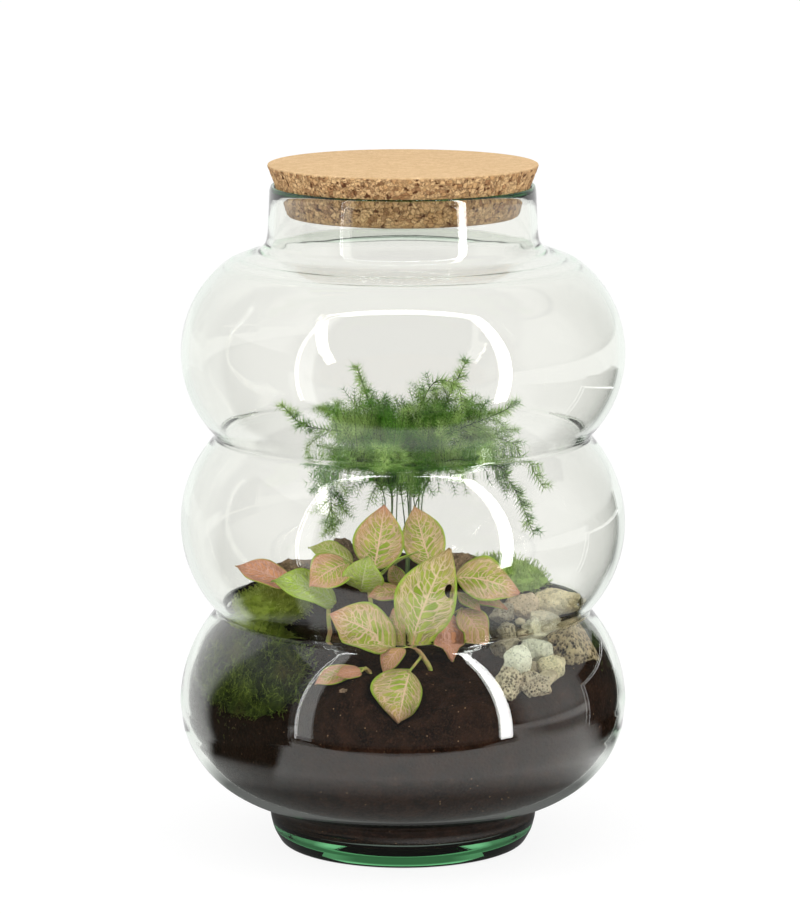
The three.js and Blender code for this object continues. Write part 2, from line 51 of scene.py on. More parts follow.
WALL = 3.0
BULBS = [  # centre ring, height, radius, squash, outer angles, inner angles
    (50.8, 62.5, 47.2, 0.945, (-72, -14), (-70, -14)),
    (38.0, 62.5, 60.0, 1.0, (0, 44), (0, 46.6)),
    (42.3, 142.8, 55.0, 1.0, (-41, 44.5), (-48, 48.2)),
    (47.4, 217.5, 49.5, 1.0, (-43.5, 54), (-50.4, 54)),
]
FOOT_OUTLINE = [(0, 0), (54, 0), (57.2, 5.7), (58.7, 11.5), (58.4, 15.5), (59.5, 18)]
SHOULDER_OUTLINE = [(70, 260.3), (63, 262.2), (59.6, 265.2), (58.7, 270), (57.8, 289.6), (57.1, 290.5)]
FLOOR_OUTLINE = [(0, 9), (49, 9), (52.5, 9.7), (54.8, 12.5), (55.4, 16.5), (58, 20)]
# Below this height the foot's glass colour is painted. Painted highlights are light rings at the bottom rim
# and at 8 to 10 mm, and painted shade is a dark band between them. Above it the glass keeps one plain tint.
PAINTED_FOOT_TOP = 16  # height in millimetres above which the glass has the last tint
FOOT_SHADE_AND_HIGHLIGHTS = [  # height, tint
    (0, (0.66, 0.86, 0.74)), (1.5, (0.60, 0.82, 0.69)), (2.4, (0.09, 0.155, 0.105)),
    (7.2, (0.10, 0.185, 0.13)), (8.4, (0.46, 0.64, 0.54)), (9.6, (0.45, 0.58, 0.51)),
    (10.6, (0.975, 0.95, 0.94)),
]
BORE_OUTLINE = [
    (68.6, 257.5), (61, 259.4), (57, 262.6), (55.9, 268), (55.1, 288.8), (55.45, 289.9), (56.3, 290.5),
]
JAR_AROUND = 120
TRUE_BELOW = 12  # the foot is thick and stays true, and the bulbs above it are a little out of round


def clamp(value, low=0, high=1):
    return min(high, max(low, value))


def arcs(inset, which):
    points = []
    for ring, height, radius, squash, *angles in BULBS:
        start, end = angles[which]
        count = round((end - start) / 3)
        for i in range(count + 1):
            angle = radians(start + (end - start) * i / count)
            r = ring + (radius - inset) * cos(angle)
            points.append((r, height + (radius * squash - inset) * sin(angle)))
    return points


def softened(outline, step=0.5, rounds=9, turn=2.4):
    """The outline with its corners rounded as hot glass rounds them, and a point wherever it turns."""
    marks = [0.0]
    for (r0, z0), (r1, z1) in zip(outline, outline[1:]):
        marks.append(marks[-1] + hypot(r1 - r0, z1 - z0))
    count = round(marks[-1] / step)
    points = []
    for k in range(count + 1):
        at = marks[-1] * k / count
        i = clamp(bisect.bisect_right(marks, at) - 1, 0, len(outline) - 2)
        t = (at - marks[i]) / (marks[i + 1] - marks[i])
        points.append(tuple(a + (b - a) * t for a, b in zip(outline[i], outline[i + 1])))
    for _ in range(rounds):
        threes = zip(points, points[1:], points[2:])
        inner = [tuple((p + 2 * q + s) / 4 for p, q, s in zip(*three)) for three in threes]
        points = [points[0], *inner, points[-1]]
    kept, heading = [points[0]], None
    for here, after in zip(points[1:], points[2:]):
        way = degrees(atan2(after[1] - here[1], after[0] - here[0]))
        if heading is None or abs((way - heading + 180) % 360 - 180) > turn or dist(here, kept[-1]) > 5:
            kept.append(here)
            heading = way
    return [*kept, points[-1]]


def turn_outward(bm):
    bmesh.ops.recalc_face_normals(bm, faces=bm.faces)


def weld(bm):
    bmesh.ops.remove_doubles(bm, verts=bm.verts, dist=1e-4)
    turn_outward(bm)
    return bm


def lathe(outline, steps):
    bm = bmesh.new()
    verts = [bm.verts.new((r, 0, z)) for r, z in outline]
    geom = verts + [bm.edges.new(pair) for pair in zip(verts, verts[1:])]
    bmesh.ops.spin(
        bm, geom=geom, cent=(0, 0, 0), axis=(0, 0, 1), angle=tau, steps=steps, use_merge=True)
    return weld(bm)


def to_mesh(name, bm):
    mesh = bpy.data.meshes.new(name)
    bm.to_mesh(mesh)
    bm.free()
    return mesh


def finish(name, bm, material, slot, *nodes):
    """The mesh, modelled in millimetres, as a finished piece in metres at the origin."""
    bmesh.ops.scale(bm, vec=(0.001, 0.001, 0.001), verts=bm.verts)
    mesh = to_mesh(name, bm)
    mesh.shade_smooth()
    mesh.materials.append(material)
    piece = bpy.data.objects.new(name, mesh)
    bpy.context.scene.collection.objects.link(piece)
    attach(piece, "root")
    if nodes:
        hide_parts(*nodes)
    return piece


def new_material(name):
    material = bpy.data.materials.new(name)
    material.use_nodes = True
    return material, material.node_tree, material.node_tree.nodes["Principled BSDF"]


def feed(node, inputs):
    """Gives each input a value or another node's output."""
    for key, value in inputs.items():
        if isinstance(value, bpy.types.NodeSocket):
            node.id_data.links.new(value, node.inputs[key])
        else:
            node.inputs[key].default_value = value


def put(tree, kind, inputs=None, **settings):
    node = tree.nodes.new(kind)
    for key, value in settings.items():
        setattr(node, key, value)
    feed(node, inputs or {})
    return node


def place_on(tree, kind="Object"):
    """The shaded point, in metres in the piece's own frame."""
    return put(tree, "ShaderNodeTexCoord").outputs[kind]


def axes_of(tree, kind="Object"):
    return put(tree, "ShaderNodeSeparateXYZ", {0: place_on(tree, kind)}).outputs


inner_wall = softened(FLOOR_OUTLINE + arcs(WALL, 1) + BORE_OUTLINE, rounds=60, turn=3)
outer_wall = softened(FOOT_OUTLINE + arcs(0, 0) + SHOULDER_OUTLINE)
jar_bm = lathe(outer_wall + inner_wall[::-1], JAR_AROUND)
for v in jar_bm.verts:
    if v.co.z > TRUE_BELOW:
        turn = atan2(v.co.y, v.co.x)
        sway = 0.12 * sin(2 * turn + 0.02 * v.co.z) + 0.06 * sin(5 * turn - 0.05 * v.co.z)
        sway += (0.07 if v.co.x < 0 else 0.02) * noise(v.co / 13)
        v.co.x += sway * cos(turn)
        v.co.y += sway * sin(turn)

jar_glass, tree, shell = new_material("jar_glass")
# Painted shade and painted highlights: the glass colour up the foot follows the bands in the table above.
share = put(tree, "ShaderNodeMapRange", {"Value": axes_of(tree)[2], "From Max": PAINTED_FOOT_TOP / 1000})
depth = put(tree, "ShaderNodeValToRGB", {0: share.outputs[0]})
marks = depth.color_ramp.elements
for at, colour in FOOT_SHADE_AND_HIGHLIGHTS:
    (marks.new(at / PAINTED_FOOT_TOP) if at else marks[0]).color = (*colour, 1)
marks[-1].color = (*FOOT_SHADE_AND_HIGHLIGHTS[-1][1], 1)
feed(shell, {"Base Color": depth.outputs[0], "Roughness": 0.0, "IOR": 1.51, "Transmission Weight": 1.0})
shadow = put(tree, "ShaderNodeLightPath").outputs["Is Shadow Ray"]
clear = put(tree, "ShaderNodeBsdfTransparent", {"Color": (0.97, 0.98, 0.97, 1)})
either = put(tree, "ShaderNodeMixShader", {0: shadow, 1: shell.outputs[0], 2: clear.outputs[0]})
tint = put(tree, "ShaderNodeVolumeAbsorption", {"Color": (0.167, 0.833, 0.333, 1), "Density": 12.0})
feed(tree.nodes["Material Output"], {"Surface": either.outputs[0], "Volume": tint.outputs[0]})
finish("jar", jar_bm, jar_glass, "glass", "glass_jar")

# Potting soil. Dark moist compost that fills the foot and most of the lowest bulb, pressed against the glass
# and lumpy on top. One leaf of the nerve plant hangs in a pocket of it at the front glass.

SOIL_AROUND, SOIL_ROWS, SOIL_RINGS = 256, 46, 56
SOIL_FLOOR = 9  # height of the jar's floor
FOOT_TOP = 17  # the soil clings to the glass up to here
HANGING_LEAF = ((3, -75, 92), (-2, -88, 72.5), 25, (-0.2, -0.8, -0.5), 2)  # base, tip, width, face, arch


def soil_gap(z):
    """Wet soil clings to the glass in the foot and stands just off the wall above it."""
    return -0.15 + 0.55 * clamp((z - FOOT_TOP) / 5)


def inner_radius(z):
    i = clamp(bisect.bisect_left(WALL_HEIGHTS, z), 1, len(WALL_HEIGHTS) - 1)
    (r0, z0), (r1, z1) = wall_points[i - 1], wall_points[i]
    return r0 + (r1 - r0) * (z - z0) / (z1 - z0)


def ground(x, y):
    """Height of the soil: it rises to the back and falls away to both front corners."""
    mound = 6 * exp(-((x + 15) ** 2 + (y - 25) ** 2) / 1600)
    left = 0.38 * max(0, -1.3 * x - 0.7 * y - 80)
    right = 0.14 * max(0, x - y - 62)
    lumps = 0.9 * sin(0.13 * x + 1) * cos(0.11 * y) + 0.5 * sin(0.31 * x - 0.27 * y)
    return 99 + 0.15 * y + mound - left - right + lumps


def leaf_frame(base, tip, face):
    start = Vector(base)
    along = Vector(tip) - start
    length = along.length
    along.normalize()
    side = along.cross(Vector(face)).normalized()
    return start, along, side, side.cross(along), length


def half_width(width, u):
    return 0.5 * width * max(0.012, sin(pi * min(u, 1) ** 0.8) ** (0.66 + 0.3 * min(u, 1) ** 2))


def pressed(co):
    """The soil's point moved behind the hanging leaf, where the leaf lies over it."""
    base, tip, width, face, _ = HANGING_LEAF
    start, along, side, up, length = leaf_frame(base, tip, face)
    off = co - start
    u, across, rise = off.dot(along) / length, abs(off.dot(side)), off.dot(up)
    if not -0.1 < u < 1.12 or rise < -7:
        return co
    reach = half_width(width + 7, clamp((u + 0.03) / 1.1, 0.02, 0.98))
    return co - up * (rise + 6) * clamp((reach + 1.5 - across) / 3)


wall_points = [(r, z) for r, z in inner_wall if z > SOIL_FLOOR + 0.01]
WALL_HEIGHTS = [z for _, z in wall_points]
outline = [(0, -1), (0.5, -1), (1, -1)] + [(1, k) for k in range(SOIL_ROWS + 1)]
outline += [(1 - j / SOIL_RINGS, SOIL_ROWS + 1) for j in range(1, SOIL_RINGS + 1)]
soil_bm = lathe(outline, SOIL_AROUND)
for v in soil_bm.verts:
    turn = atan2(v.co.y, v.co.x)
    part, row = hypot(v.co.x, v.co.y), v.co.z
    brim = 90.0
    for _ in range(4):
        top = ground(brim * cos(turn), brim * sin(turn))
        brim = inner_radius(top) - soil_gap(top)
    if row < 0:
        r, z = part * 49, SOIL_FLOOR + soil_gap(SOIL_FLOOR)
    elif row <= SOIL_ROWS:
        z = SOIL_FLOOR + 0.2 + (top - SOIL_FLOOR - 0.2) * row / SOIL_ROWS
        r = inner_radius(z) - soil_gap(z)
    else:
        r = part * brim
        z = ground(r * cos(turn), r * sin(turn))
    co = Vector((r * cos(turn), r * sin(turn), z))
    crumb = noise(co / 3.1) * 0.5 + noise(co / 8) * 0.8
    if row > SOIL_ROWS:
        co.z += crumb + abs(noise(co / 2.6)) * 0.8
    elif row >= 0:
        co -= Vector((cos(turn), sin(turn), 0)) * max(0, crumb) * clamp((z - FOOT_TOP) / 5)
    v.co = pressed(co)
turn_outward(soil_bm)


def grain(tree, size, detail=4.0, output="Fac"):
    """Noise whose features are about `size` millimetres across, fixed to the piece."""
    inputs = {"Vector": place_on(tree), "Scale": 1000 / size, "Detail": detail}
    return put(tree, "ShaderNodeTexNoise", inputs).outputs[output]


def cells(tree, size):
    return put(tree, "ShaderNodeTexVoronoi", {"Vector": place_on(tree), "Scale": 1000 / size}).outputs


def between(value, low, high, to_low=0.0, to_high=1.0):
    inputs = {"Value": value, "From Min": low, "From Max": high, "To Min": to_low, "To Max": to_high}
    return put(value.id_data, "ShaderNodeMapRange", inputs).outputs[0]


def mixed(share, first, second):
    first, second = (c if isinstance(c, bpy.types.NodeSocket) else (*c, 1) for c in (first, second))
    inputs = {0: share, 6: first, 7: second}
    return put(share.id_data, "ShaderNodeMix", inputs, data_type="RGBA").outputs[2]


def faded(first, second, value, low, high, most=1.0):
    """The first colour, faded into the second as the value goes from low to high."""
    return mixed(between(value, low, high, 0.0, most), first, second)


def calc(what, first, *others):
    """The first value with each of the others worked into it in turn."""
    tree = next(v for v in (first, *others) if isinstance(v, bpy.types.NodeSocket)).id_data
    for other in others or [0.0]:
        first = put(tree, "ShaderNodeMath", {0: first, 1: other}, operation=what).outputs[0]
    return first


def times(*values):
    return calc("MULTIPLY", *values)


def coat(shader, colour, roughness, relief, depth_mm, sheen=0.5):
    bump = put(shader.id_data, "ShaderNodeBump", {"Height": relief, "Distance": depth_mm / 1000})
    feed(shader, {"Base Color": colour, "Roughness": roughness, "Specular IOR Level": sheen})
    feed(shader, {"Normal": bump.outputs[0]})


# Grit: the grains and patches of anything crumbly, for a grain size in millimetres.
grit = bpy.data.node_groups.new("grit", "ShaderNodeTree")
grit.interface.new_socket("Size", in_out="INPUT", socket_type="NodeSocketFloat")
for name in ("Fine", "Patch"):
    grit.interface.new_socket(name, in_out="OUTPUT", socket_type="NodeSocketFloat")
size = put(grit, "NodeGroupInput").outputs[0]
where = place_on(grit)
often = calc("DIVIDE", 1000.0, size)
seldom = calc("DIVIDE", often, 4.0)
fine = put(grit, "ShaderNodeTexNoise", {"Vector": where, "Scale": often, "Detail": 5.0, "Roughness": 0.6})
patch = put(grit, "ShaderNodeTexNoise", {"Vector": where, "Scale": seldom, "Detail": 2.0})
put(grit, "NodeGroupOutput", {"Fine": fine.outputs["Fac"], "Patch": patch.outputs["Fac"]})


def place_grit(tree, size):
    return put(tree, "ShaderNodeGroup", {"Size": size}, node_tree=grit).outputs


compost, tree, shader = new_material("compost")
fine, clods = place_grit(tree, 0.9)["Fine"], cells(tree, 1.6)["Distance"]
brown = faded((0.011, 0.006, 0.004), (0.034, 0.016, 0.0095), grain(tree, 7), 0.35, 0.7)
brown = faded(brown, (0.060, 0.026, 0.014), fine, 0.5, 0.72)
fibre = cells(tree, 2.6)
fleck = between(fibre["Distance"], 0.12, 0.07)
any_cell = put(tree, "ShaderNodeSeparateColor", {0: fibre["Color"]}).outputs[0]
brown = mixed(times(fleck, between(any_cell, 0.78, 0.82)), brown, (0.42, 0.25, 0.13))
# Painted shade: the soil is coloured darker towards the left.
brown = faded(brown, (0.009, 0.0075, 0.005), axes_of(tree)[0], -0.025, -0.05, 0.6)
coat(shader, brown, 0.92, calc("ADD", fine, clods), 0.6, sheen=0.06)
finish("potting_soil", soil_bm, compost, "soil", "soil")

# Stones. Twelve dry cream and grey pebbles in a loose bed on the right, weathered and partly porous, with
# small gravel between them. They lie on the soil and on each other, and the outer ones lean on the glass.

STONES = [  # name, place, half sizes, turn, tilt, colour, how porous, mesh levels
    ("long", (70, 3), (12.4, 6.4, 6.8), 4, 4, (0.84, 0.72, 0.47), 0.25, 5),
    ("porous", (73, -31), (11.6, 9.6, 13), -30, 0, (0.60, 0.48, 0.29), 1.0, 6),
    ("reddish", (53, -5), (7, 6, 6.4), 20, 0, (0.66, 0.53, 0.38), 0.3, 5),
    ("grey", (44, -13), (5.8, 5.6, 5.2), 50, 0, (0.44, 0.38, 0.29), 0.7, 5),
    ("slab", (63, -13), (9, 6.5, 4.4), 8, 10, (0.74, 0.66, 0.48), 0.2, 5),
    ("pale", (56, -25), (7.8, 6.2, 7.2), -20, -20, (0.88, 0.80, 0.58), 0.1, 5),
    ("round", (44, -37), (6.6, 6, 7.4), 15, 0, (0.50, 0.43, 0.30), 0.7, 5),
    ("green", (57.5, -44), (6.6, 5.9, 6.9), 30, 0, (0.76, 0.75, 0.60), 0.15, 5),
    ("oval", (63.5, -53), (6.2, 5, 5.6), -25, 20, (0.86, 0.76, 0.50), 0.4, 5),
    ("angular", (48, -56), (6.4, 5.5, 7.2), 40, 12, (0.95, 0.90, 0.70), 0.3, 5),
    ("low", (44, -70), (7, 5.8, 8), -15, 0, (0.70, 0.60, 0.42), 0.9, 6),
    ("flake", (55.5, -66.5), (7.6, 4.6, 7.4), 30, -25, (0.58, 0.50, 0.36), 0.8, 6),
]
GRAVEL = 52  # lumps
CRISPNESS = 26  # the power that joins the broken faces: the higher, the crisper their edges


def inside(co, gap=0.5):
    """The point, pulled back where it would pass through the glass."""
    limit = inner_radius(co.z) - gap
    r = hypot(co.x, co.y)
    return Vector((co.x * limit / r, co.y * limit / r, co.z)) if r > limit else co


def lump(at, size, turn, tilt, levels, shape):
    """A ball pushed in and out by shape(point on the unit ball), then sized, tilted and turned."""
    bm = bmesh.new()
    relief = bm.verts.layers.float.new("relief")
    bmesh.ops.create_icosphere(bm, subdivisions=levels, radius=1)
    for v in bm.verts:
        reach, v[relief] = shape(v.co.copy())
        v.co *= reach
    bmesh.ops.scale(bm, vec=size, verts=bm.verts)
    bmesh.ops.rotate(bm, matrix=Matrix.Rotation(radians(tilt), 3, "Y"), verts=bm.verts)
    bmesh.ops.rotate(bm, matrix=Matrix.Rotation(radians(turn), 3, "Z"), verts=bm.verts)
    bmesh.ops.translate(bm, vec=(*at, 0), verts=bm.verts)
    return bm


def stand(bm, node):
    """Raises the lump to the height of its solid and keeps it inside the glass."""
    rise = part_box(node)[1][2] * 1000 - max(v.co.z for v in bm.verts)
    bmesh.ops.translate(bm, vec=(0, 0, rise), verts=bm.verts)
    for v in bm.verts:
        v.co = inside(v.co)


def stone_shape(seed, porous):
    """How far out a broken pebble reaches, and its relief from 0 in pits and creases to 1 on its faces."""
    draw = random.Random(seed)
    breaks = []
    for _ in range(13):
        way = Vector([draw.gauss(0, 1) for _ in range(3)]).normalized()
        breaks.append((way, draw.uniform(0.58, 0.84)))

    def shape(p):
        far = p + Vector((seed * 7.3, 0, 0))
        nearest = sorted(d / max(0.3, p.dot(n)) for n, d in breaks)[:2] + [1.02]
        form = 1.14 * (sum(d ** -CRISPNESS for d in nearest)) ** (-1 / CRISPNESS)
        form += 0.05 * noise(far * 1.6) + 0.06 * noise(far * 3.4)
        form += 0.035 * abs(noise(far * 6))
        crease = max(0, 1 - 9 * abs(noise(far * 1.9 + Vector((3, 1, 2)))))
        where_pitted = clamp(0.35 + porous * 0.5 + 2.2 * noise(far * 1.7))
        pit = porous * where_pitted * clamp((0.46 - voronoi(far * 6)[0][0]) * 4.5)
        rough = (0.022 + 0.04 * porous) * noise(far * 9) + 0.02 * noise(far * 19)
        return form + rough - 0.05 * crease - 0.14 * pit, 1 - max(pit, 0.45 * crease)
    return shape


def toned(colour, factor, most=1):
    return tuple(min(most, c * factor) for c in colour)


def stored(tree, name):
    """What the mesh itself says at the point, such as how high its relief stands."""
    return put(tree, "ShaderNodeAttribute", attribute_name=name).outputs["Fac"]


for number, (name, at, size, turn, tilt, colour, porous, levels) in enumerate(STONES):
    stone_bm = lump(at, size, turn, tilt, levels, stone_shape(number + 1, porous))
    stand(stone_bm, f"stone_{name}")
    pebble, tree, shader = new_material(f"pebble_{name}")
    veil, dust = place_grit(tree, 4.5), place_grit(tree, 0.9)
    body = faded(toned(colour, 0.7), toned(colour, 1.12, 0.95), veil["Fine"], 0.3, 0.65)
    body = faded(body, toned(colour, 0.4), dust["Fine"], 0.58, 0.75, 0.5)
    body = faded(body, (0.50, 0.30, 0.15), veil["Patch"], 0.57, 0.72, 0.4)
    holes = between(cells(tree, 1.5)["Distance"], 0.34 + 0.2 * porous ** 2, 0.16)
    pores = times(holes, 0.15 + 0.8 * porous)
    # Painted shade: the pores, pits and creases are coloured dark brown.
    pit_shade = calc("MAXIMUM", pores, between(stored(tree, "relief"), 0.85, 0.25))
    body = mixed(pit_shade, body, (0.045, 0.028, 0.015))
    relief = calc("SUBTRACT", dust["Fine"], times(pores, 0.8))
    coat(shader, body, 0.85, relief, 0.5, sheen=0.2)
    finish(f"pebble_{name}", stone_bm, pebble, "stone", f"stone_{name}")

draw = random.Random(77)
gravel_bm = bmesh.new()
for _ in range(GRAVEL):
    along, wide = draw.random(), draw.gauss(0, 5)
    x, y = 62 - 12 * along + wide, -8 - 62 * along + draw.gauss(0, 2)
    size = draw.uniform(1.6, 3.6)
    shape = stone_shape(draw.uniform(20, 60), 0.3)
    one = bmesh.ops.create_icosphere(gravel_bm, subdivisions=3, radius=1)["verts"]
    for v in one:
        v.co *= shape(v.co.copy())[0]
    bmesh.ops.scale(gravel_bm, vec=(size * 1.2, size, size * 0.9), verts=one)
    bmesh.ops.rotate(gravel_bm, matrix=Matrix.Rotation(draw.random() * 6, 3, "Z"), verts=one)
    bmesh.ops.translate(gravel_bm, vec=(x, y, ground(x, y) + size * 0.5), verts=one)
for v in gravel_bm.verts:
    v.co = inside(v.co)
gravel, tree, shader = new_material("gravel")
specks, shades = place_grit(tree, 1.2)["Fine"], place_grit(tree, 6.0)["Fine"]
body = faded((0.34, 0.28, 0.19), (0.72, 0.62, 0.42), shades, 0.35, 0.65)
body = faded(body, (0.22, 0.16, 0.09), specks, 0.55, 0.75, 0.6)
coat(shader, body, 0.85, specks, 0.4)
finish("small_gravel", gravel_bm, gravel, "stone")

# Bark. Four crumbling pieces of grey-brown bark, broken by hand, ridged along the grain, with painted shade
# in the furrows. They lie loose on the soil.

BARK = [
    ("left", (-45, 20), (16, 7, 7.5), 12, (0.30, 0.20, 0.12)),
    ("middle", (-27, 36), (7, 6, 10), -20, (0.22, 0.15, 0.10)),
    ("right", (24, 31), (11, 5.5, 7), 16, (0.36, 0.24, 0.15)),
    ("chip", (-22, -80), (5, 3, 1.5), 12, (0.50, 0.34, 0.22)),
]


def bark_shape(seed):
    """Long ridges that follow the grain, with crumbled furrows between them."""
    def shape(p):
        far = p + Vector((0, seed * 5.1, 0))
        ridges = abs(noise(Vector((far.x * 1.2, far.y * 4, far.z * 5))))
        crumbled = abs(noise(far * 6))
        reach = 0.93 + 0.2 * noise(far * 1.3) + 0.26 * ridges - 0.12 * crumbled
        return reach + 0.05 * noise(far * 14), min(1, 3.2 * ridges + 1.2 * crumbled)
    return shape


for number, (name, at, size, turn, colour) in enumerate(BARK):
    bark_bm = lump(at, size, turn, 0, 5, bark_shape(number + 1))
    stand(bark_bm, f"bark_{name}")
    bark, tree, shader = new_material(f"bark_{name}")
    coarse, crumbs = place_grit(tree, 3.0)["Fine"], place_grit(tree, 0.8)["Fine"]
    body = faded(toned(colour, 0.35), colour, coarse, 0.35, 0.65)
    body = faded(body, toned(colour, 1.9), crumbs, 0.52, 0.7, 0.8)
    # Painted shade: the furrows between the ridges are coloured near black.
    body = faded(body, toned(colour, 0.16), stored(tree, "relief"), 0.5, 0.05, 0.85)
    coat(shader, body, 0.9, calc("ADD", crumbs, coarse), 0.7)
    finish(f"bark_piece_{name}", bark_bm, bark, "bark", f"bark_{name}")

# Moss. Four cushions of living moss laid on the soil, the largest pressed against the glass at the front
# left. Each is a mound set all over with fine leafy shoots, which lie flat where the glass presses them.

MOSS = [  # name, place, half sizes, turn, room at the glass, shoots, length, how upright,
    # shaded base (painted shade, partly older growth), fresh tips, how brown
    ("front_left", (-67, -47), (29, 32, 21), 35, 3.2, 2600, 8.0, 0.25,
        (0.006, 0.012, 0.003), (0.34, 0.46, 0.07), 0.4),
    ("left_mound", (-58, -8), (18, 17, 12), 10, 1.5, 1700, 3.2, 1.0,
        (0.24, 0.31, 0.04), (0.70, 0.78, 0.24), 0.12),
    ("back_right", (43, 45), (26, 15, 13), -12, 1.5, 1600, 4.4, 1.8,
        (0.36, 0.52, 0.13), (0.80, 0.92, 0.38), 0.12),
    ("right_edge", (83, -19), (10, 14, 13), 10, 1.5, 700, 5.0, 0.6,
        (0.02, 0.035, 0.008), (0.26, 0.34, 0.07), 0.12),
]
SUNK = 3.5  # how far the moss at the back is pressed into the soil, and how far the left mound tilts


def smooth_path(points, each=4):
    """A smooth line through the points."""
    points = [Vector(p) for p in points]
    ends = [points[0] * 2 - points[1], *points, points[-1] * 2 - points[-2]]
    line = []
    for a, b, c, d in zip(ends, ends[1:], ends[2:], ends[3:]):
        for k in range(each):
            t = k / each
            line.append(0.5 * (
                2 * b + (c - a) * t + (2 * a - 5 * b + 4 * c - d) * t**2 + (3 * b - a - 3 * c + d) * t**3))
    return [*line, points[-1]]


def tube(bm, path, first, last, sides=6):
    """A round stalk along the path, closed at both ends."""
    ahead = [(b - a).normalized() for a, b in zip(path, path[1:])]
    ahead = [ahead[0], *((a + b).normalized() for a, b in zip(ahead, ahead[1:])), ahead[-1]]
    place = Matrix.Translation(path[0]) @ ahead[0].to_track_quat("Z", "Y").to_matrix().to_4x4()
    ring = bmesh.ops.create_circle(bm, cap_ends=True, segments=sides, radius=first, matrix=place)["verts"]
    end = ring[0].link_faces[0]
    radius = first
    for k in range(1, len(path)):
        grown = bmesh.ops.extrude_face_region(bm, geom=[end])["geom"]
        end = next(part for part in grown if isinstance(part, bmesh.types.BMFace))
        wanted = first + (last - first) * k / (len(path) - 1)
        turn = ahead[k - 1].rotation_difference(ahead[k]).to_matrix().to_4x4()
        move = Matrix.Translation(path[k]) @ turn @ Matrix.Scale(wanted / radius, 4)
        move = move @ Matrix.Translation(-path[k - 1])
        bmesh.ops.transform(bm, matrix=move, verts=end.verts)
        radius = wanted


def little_leaf(bm, at, turn, lean, length, thick):
    """A three-sided leaf that leans out from the point."""
    place = Matrix.Translation(at) @ Matrix.Rotation(turn, 4, "Z") @ Matrix.Rotation(lean, 4, "Y")
    place = place @ Matrix.Translation((0, 0, length / 2))
    bmesh.ops.create_cone(
        bm, cap_ends=True, segments=3, radius1=thick, radius2=0.0, depth=length, matrix=place)


def stamp(bm, mesh, at, way, spin, size):
    """Adds a copy of the mesh that stands at the point along the way, spun about it and sized."""
    place = Matrix.Translation(at) @ way.to_track_quat("Z", "Y").to_matrix().to_4x4()
    place = place @ Matrix.Rotation(spin, 4, "Z") @ Matrix.Scale(size, 4)
    mesh.transform(place)
    bm.from_mesh(mesh)
    mesh.transform(place.inverted())


def shoot_mesh(length):
    """One shoot of moss: a bending thread with six little leaves."""
    bm = bmesh.new()
    relief = bm.verts.layers.float.new("relief")
    bend = [Vector((0, 0, 0)), Vector((0.06, 0, 0.5)) * length, Vector((0.26, 0, 0.96)) * length]
    tube(bm, bend, 0.17, 0.05, 3)
    for k in range(6):
        at = bend[1].lerp(bend[2], k / 5) if k > 1 else bend[0].lerp(bend[1], 0.4 + 0.4 * k)
        little_leaf(bm, at, 2.4 * k, 0.9, 0.16 * length, 0.16)
    weld(bm)
    for v in bm.verts:
        v[relief] = clamp(v.co.z / length)
    return to_mesh("shoot", bm)


def moss_shape(seed):
    def shape(p):
        far = p + Vector((0, 0, seed * 3.7))
        reach = 0.91 + 0.10 * noise(far * 1.6) + 0.07 * noise(far * 4)
        return reach + 0.05 * noise(far * 9), 0.0
    return shape


for number, (name, at, size, turn, room, count, length, upright, shaded_base, fresh, brown) in enumerate(MOSS):
    moss_bm = lump(at, size, turn, 0, 5, moss_shape(number + 1))
    stand(moss_bm, f"moss_{name}")
    if name == "left_mound":
        for v in moss_bm.verts:
            v.co.z += SUNK * clamp((v.co.x + 62) / 16, -0.4)
    if name == "back_right":
        bmesh.ops.translate(moss_bm, vec=(0, 0, -SUNK), verts=moss_bm.verts)
    for v in moss_bm.verts:
        v.co = inside(v.co, room + 0.8 * noise(v.co / 4))
    turn_outward(moss_bm)
    draw = random.Random(40 + number)
    shoot = shoot_mesh(length)
    middles = [(f, f.calc_center_median()) for f in moss_bm.faces]
    spots = [f for f, middle in middles if middle.z > ground(*middle.xy) - 12]
    seats = []
    for face in draw.choices(spots, weights=[f.calc_area() for f in spots], k=count):
        corners = [v.co for v in face.verts]
        a, b = sorted((draw.random(), draw.random()))
        seats.append((corners[0] * a + corners[1] * (b - a) + corners[2] * (1 - b), face.normal.copy()))
    for seat, normal in seats:
        lying = normal.orthogonal().normalized()
        lying.rotate(Matrix.Rotation(draw.random() * tau, 3, normal))
        way = normal * (0.3 + 0.5 * upright) + lying * draw.uniform(0.2, 1.0)
        way = (way + Vector((0, 0, 0.5 * upright))).normalized()
        before = len(moss_bm.verts)
        stamp(moss_bm, shoot, seat - way * 0.6, way, draw.random() * 6, draw.uniform(0.5, 1.15))
        moss_bm.verts.ensure_lookup_table()
        relief = moss_bm.verts.layers.float["relief"]
        vigour, pressed_to = draw.uniform(0.35, 1.25), draw.uniform(0.35, 0.6 * room)
        vigour *= clamp(0.65 + 1.6 * noise(seat / 7), 0.25, 1.1)
        for k in range(before, len(moss_bm.verts)):
            v = moss_bm.verts[k]
            v[relief] *= vigour
            v.co = inside(v.co, pressed_to)
    moss, tree, shader = new_material(f"moss_{name}")
    patches, tips = place_grit(tree, 9.0), place_grit(tree, 2.2)["Fine"]
    half_shaded = tuple((a + b) / 2 for a, b in zip(shaded_base, fresh))
    # Painted shade, partly older growth: the cushion and the shoots' bases take the shaded base colour, and
    # the shoots lighten to the fresh colour towards their tips.
    body = faded(shaded_base, half_shaded, patches["Fine"], 0.35, 0.65, 0.35)
    young = between(tips, 0.3, 0.6, 0.55, 1)
    body = mixed(times(between(stored(tree, "relief"), 0.1, 1.0), young), body, fresh)
    body = faded(body, (0.12, 0.06, 0.025), patches["Patch"], 0.60, 0.70, brown)
    coat(shader, body, 0.8, tips, 0.5, sheen=0.15)
    finish(f"cushion_{name}", moss_bm, moss, "moss", f"moss_{name}")

# Nerve plant. Six leafy shoots of one rooted clump. The leaves are thin and quilted, yellow-green with a net
# of pale pink veins, each on a short stalk from a joint of its stem.

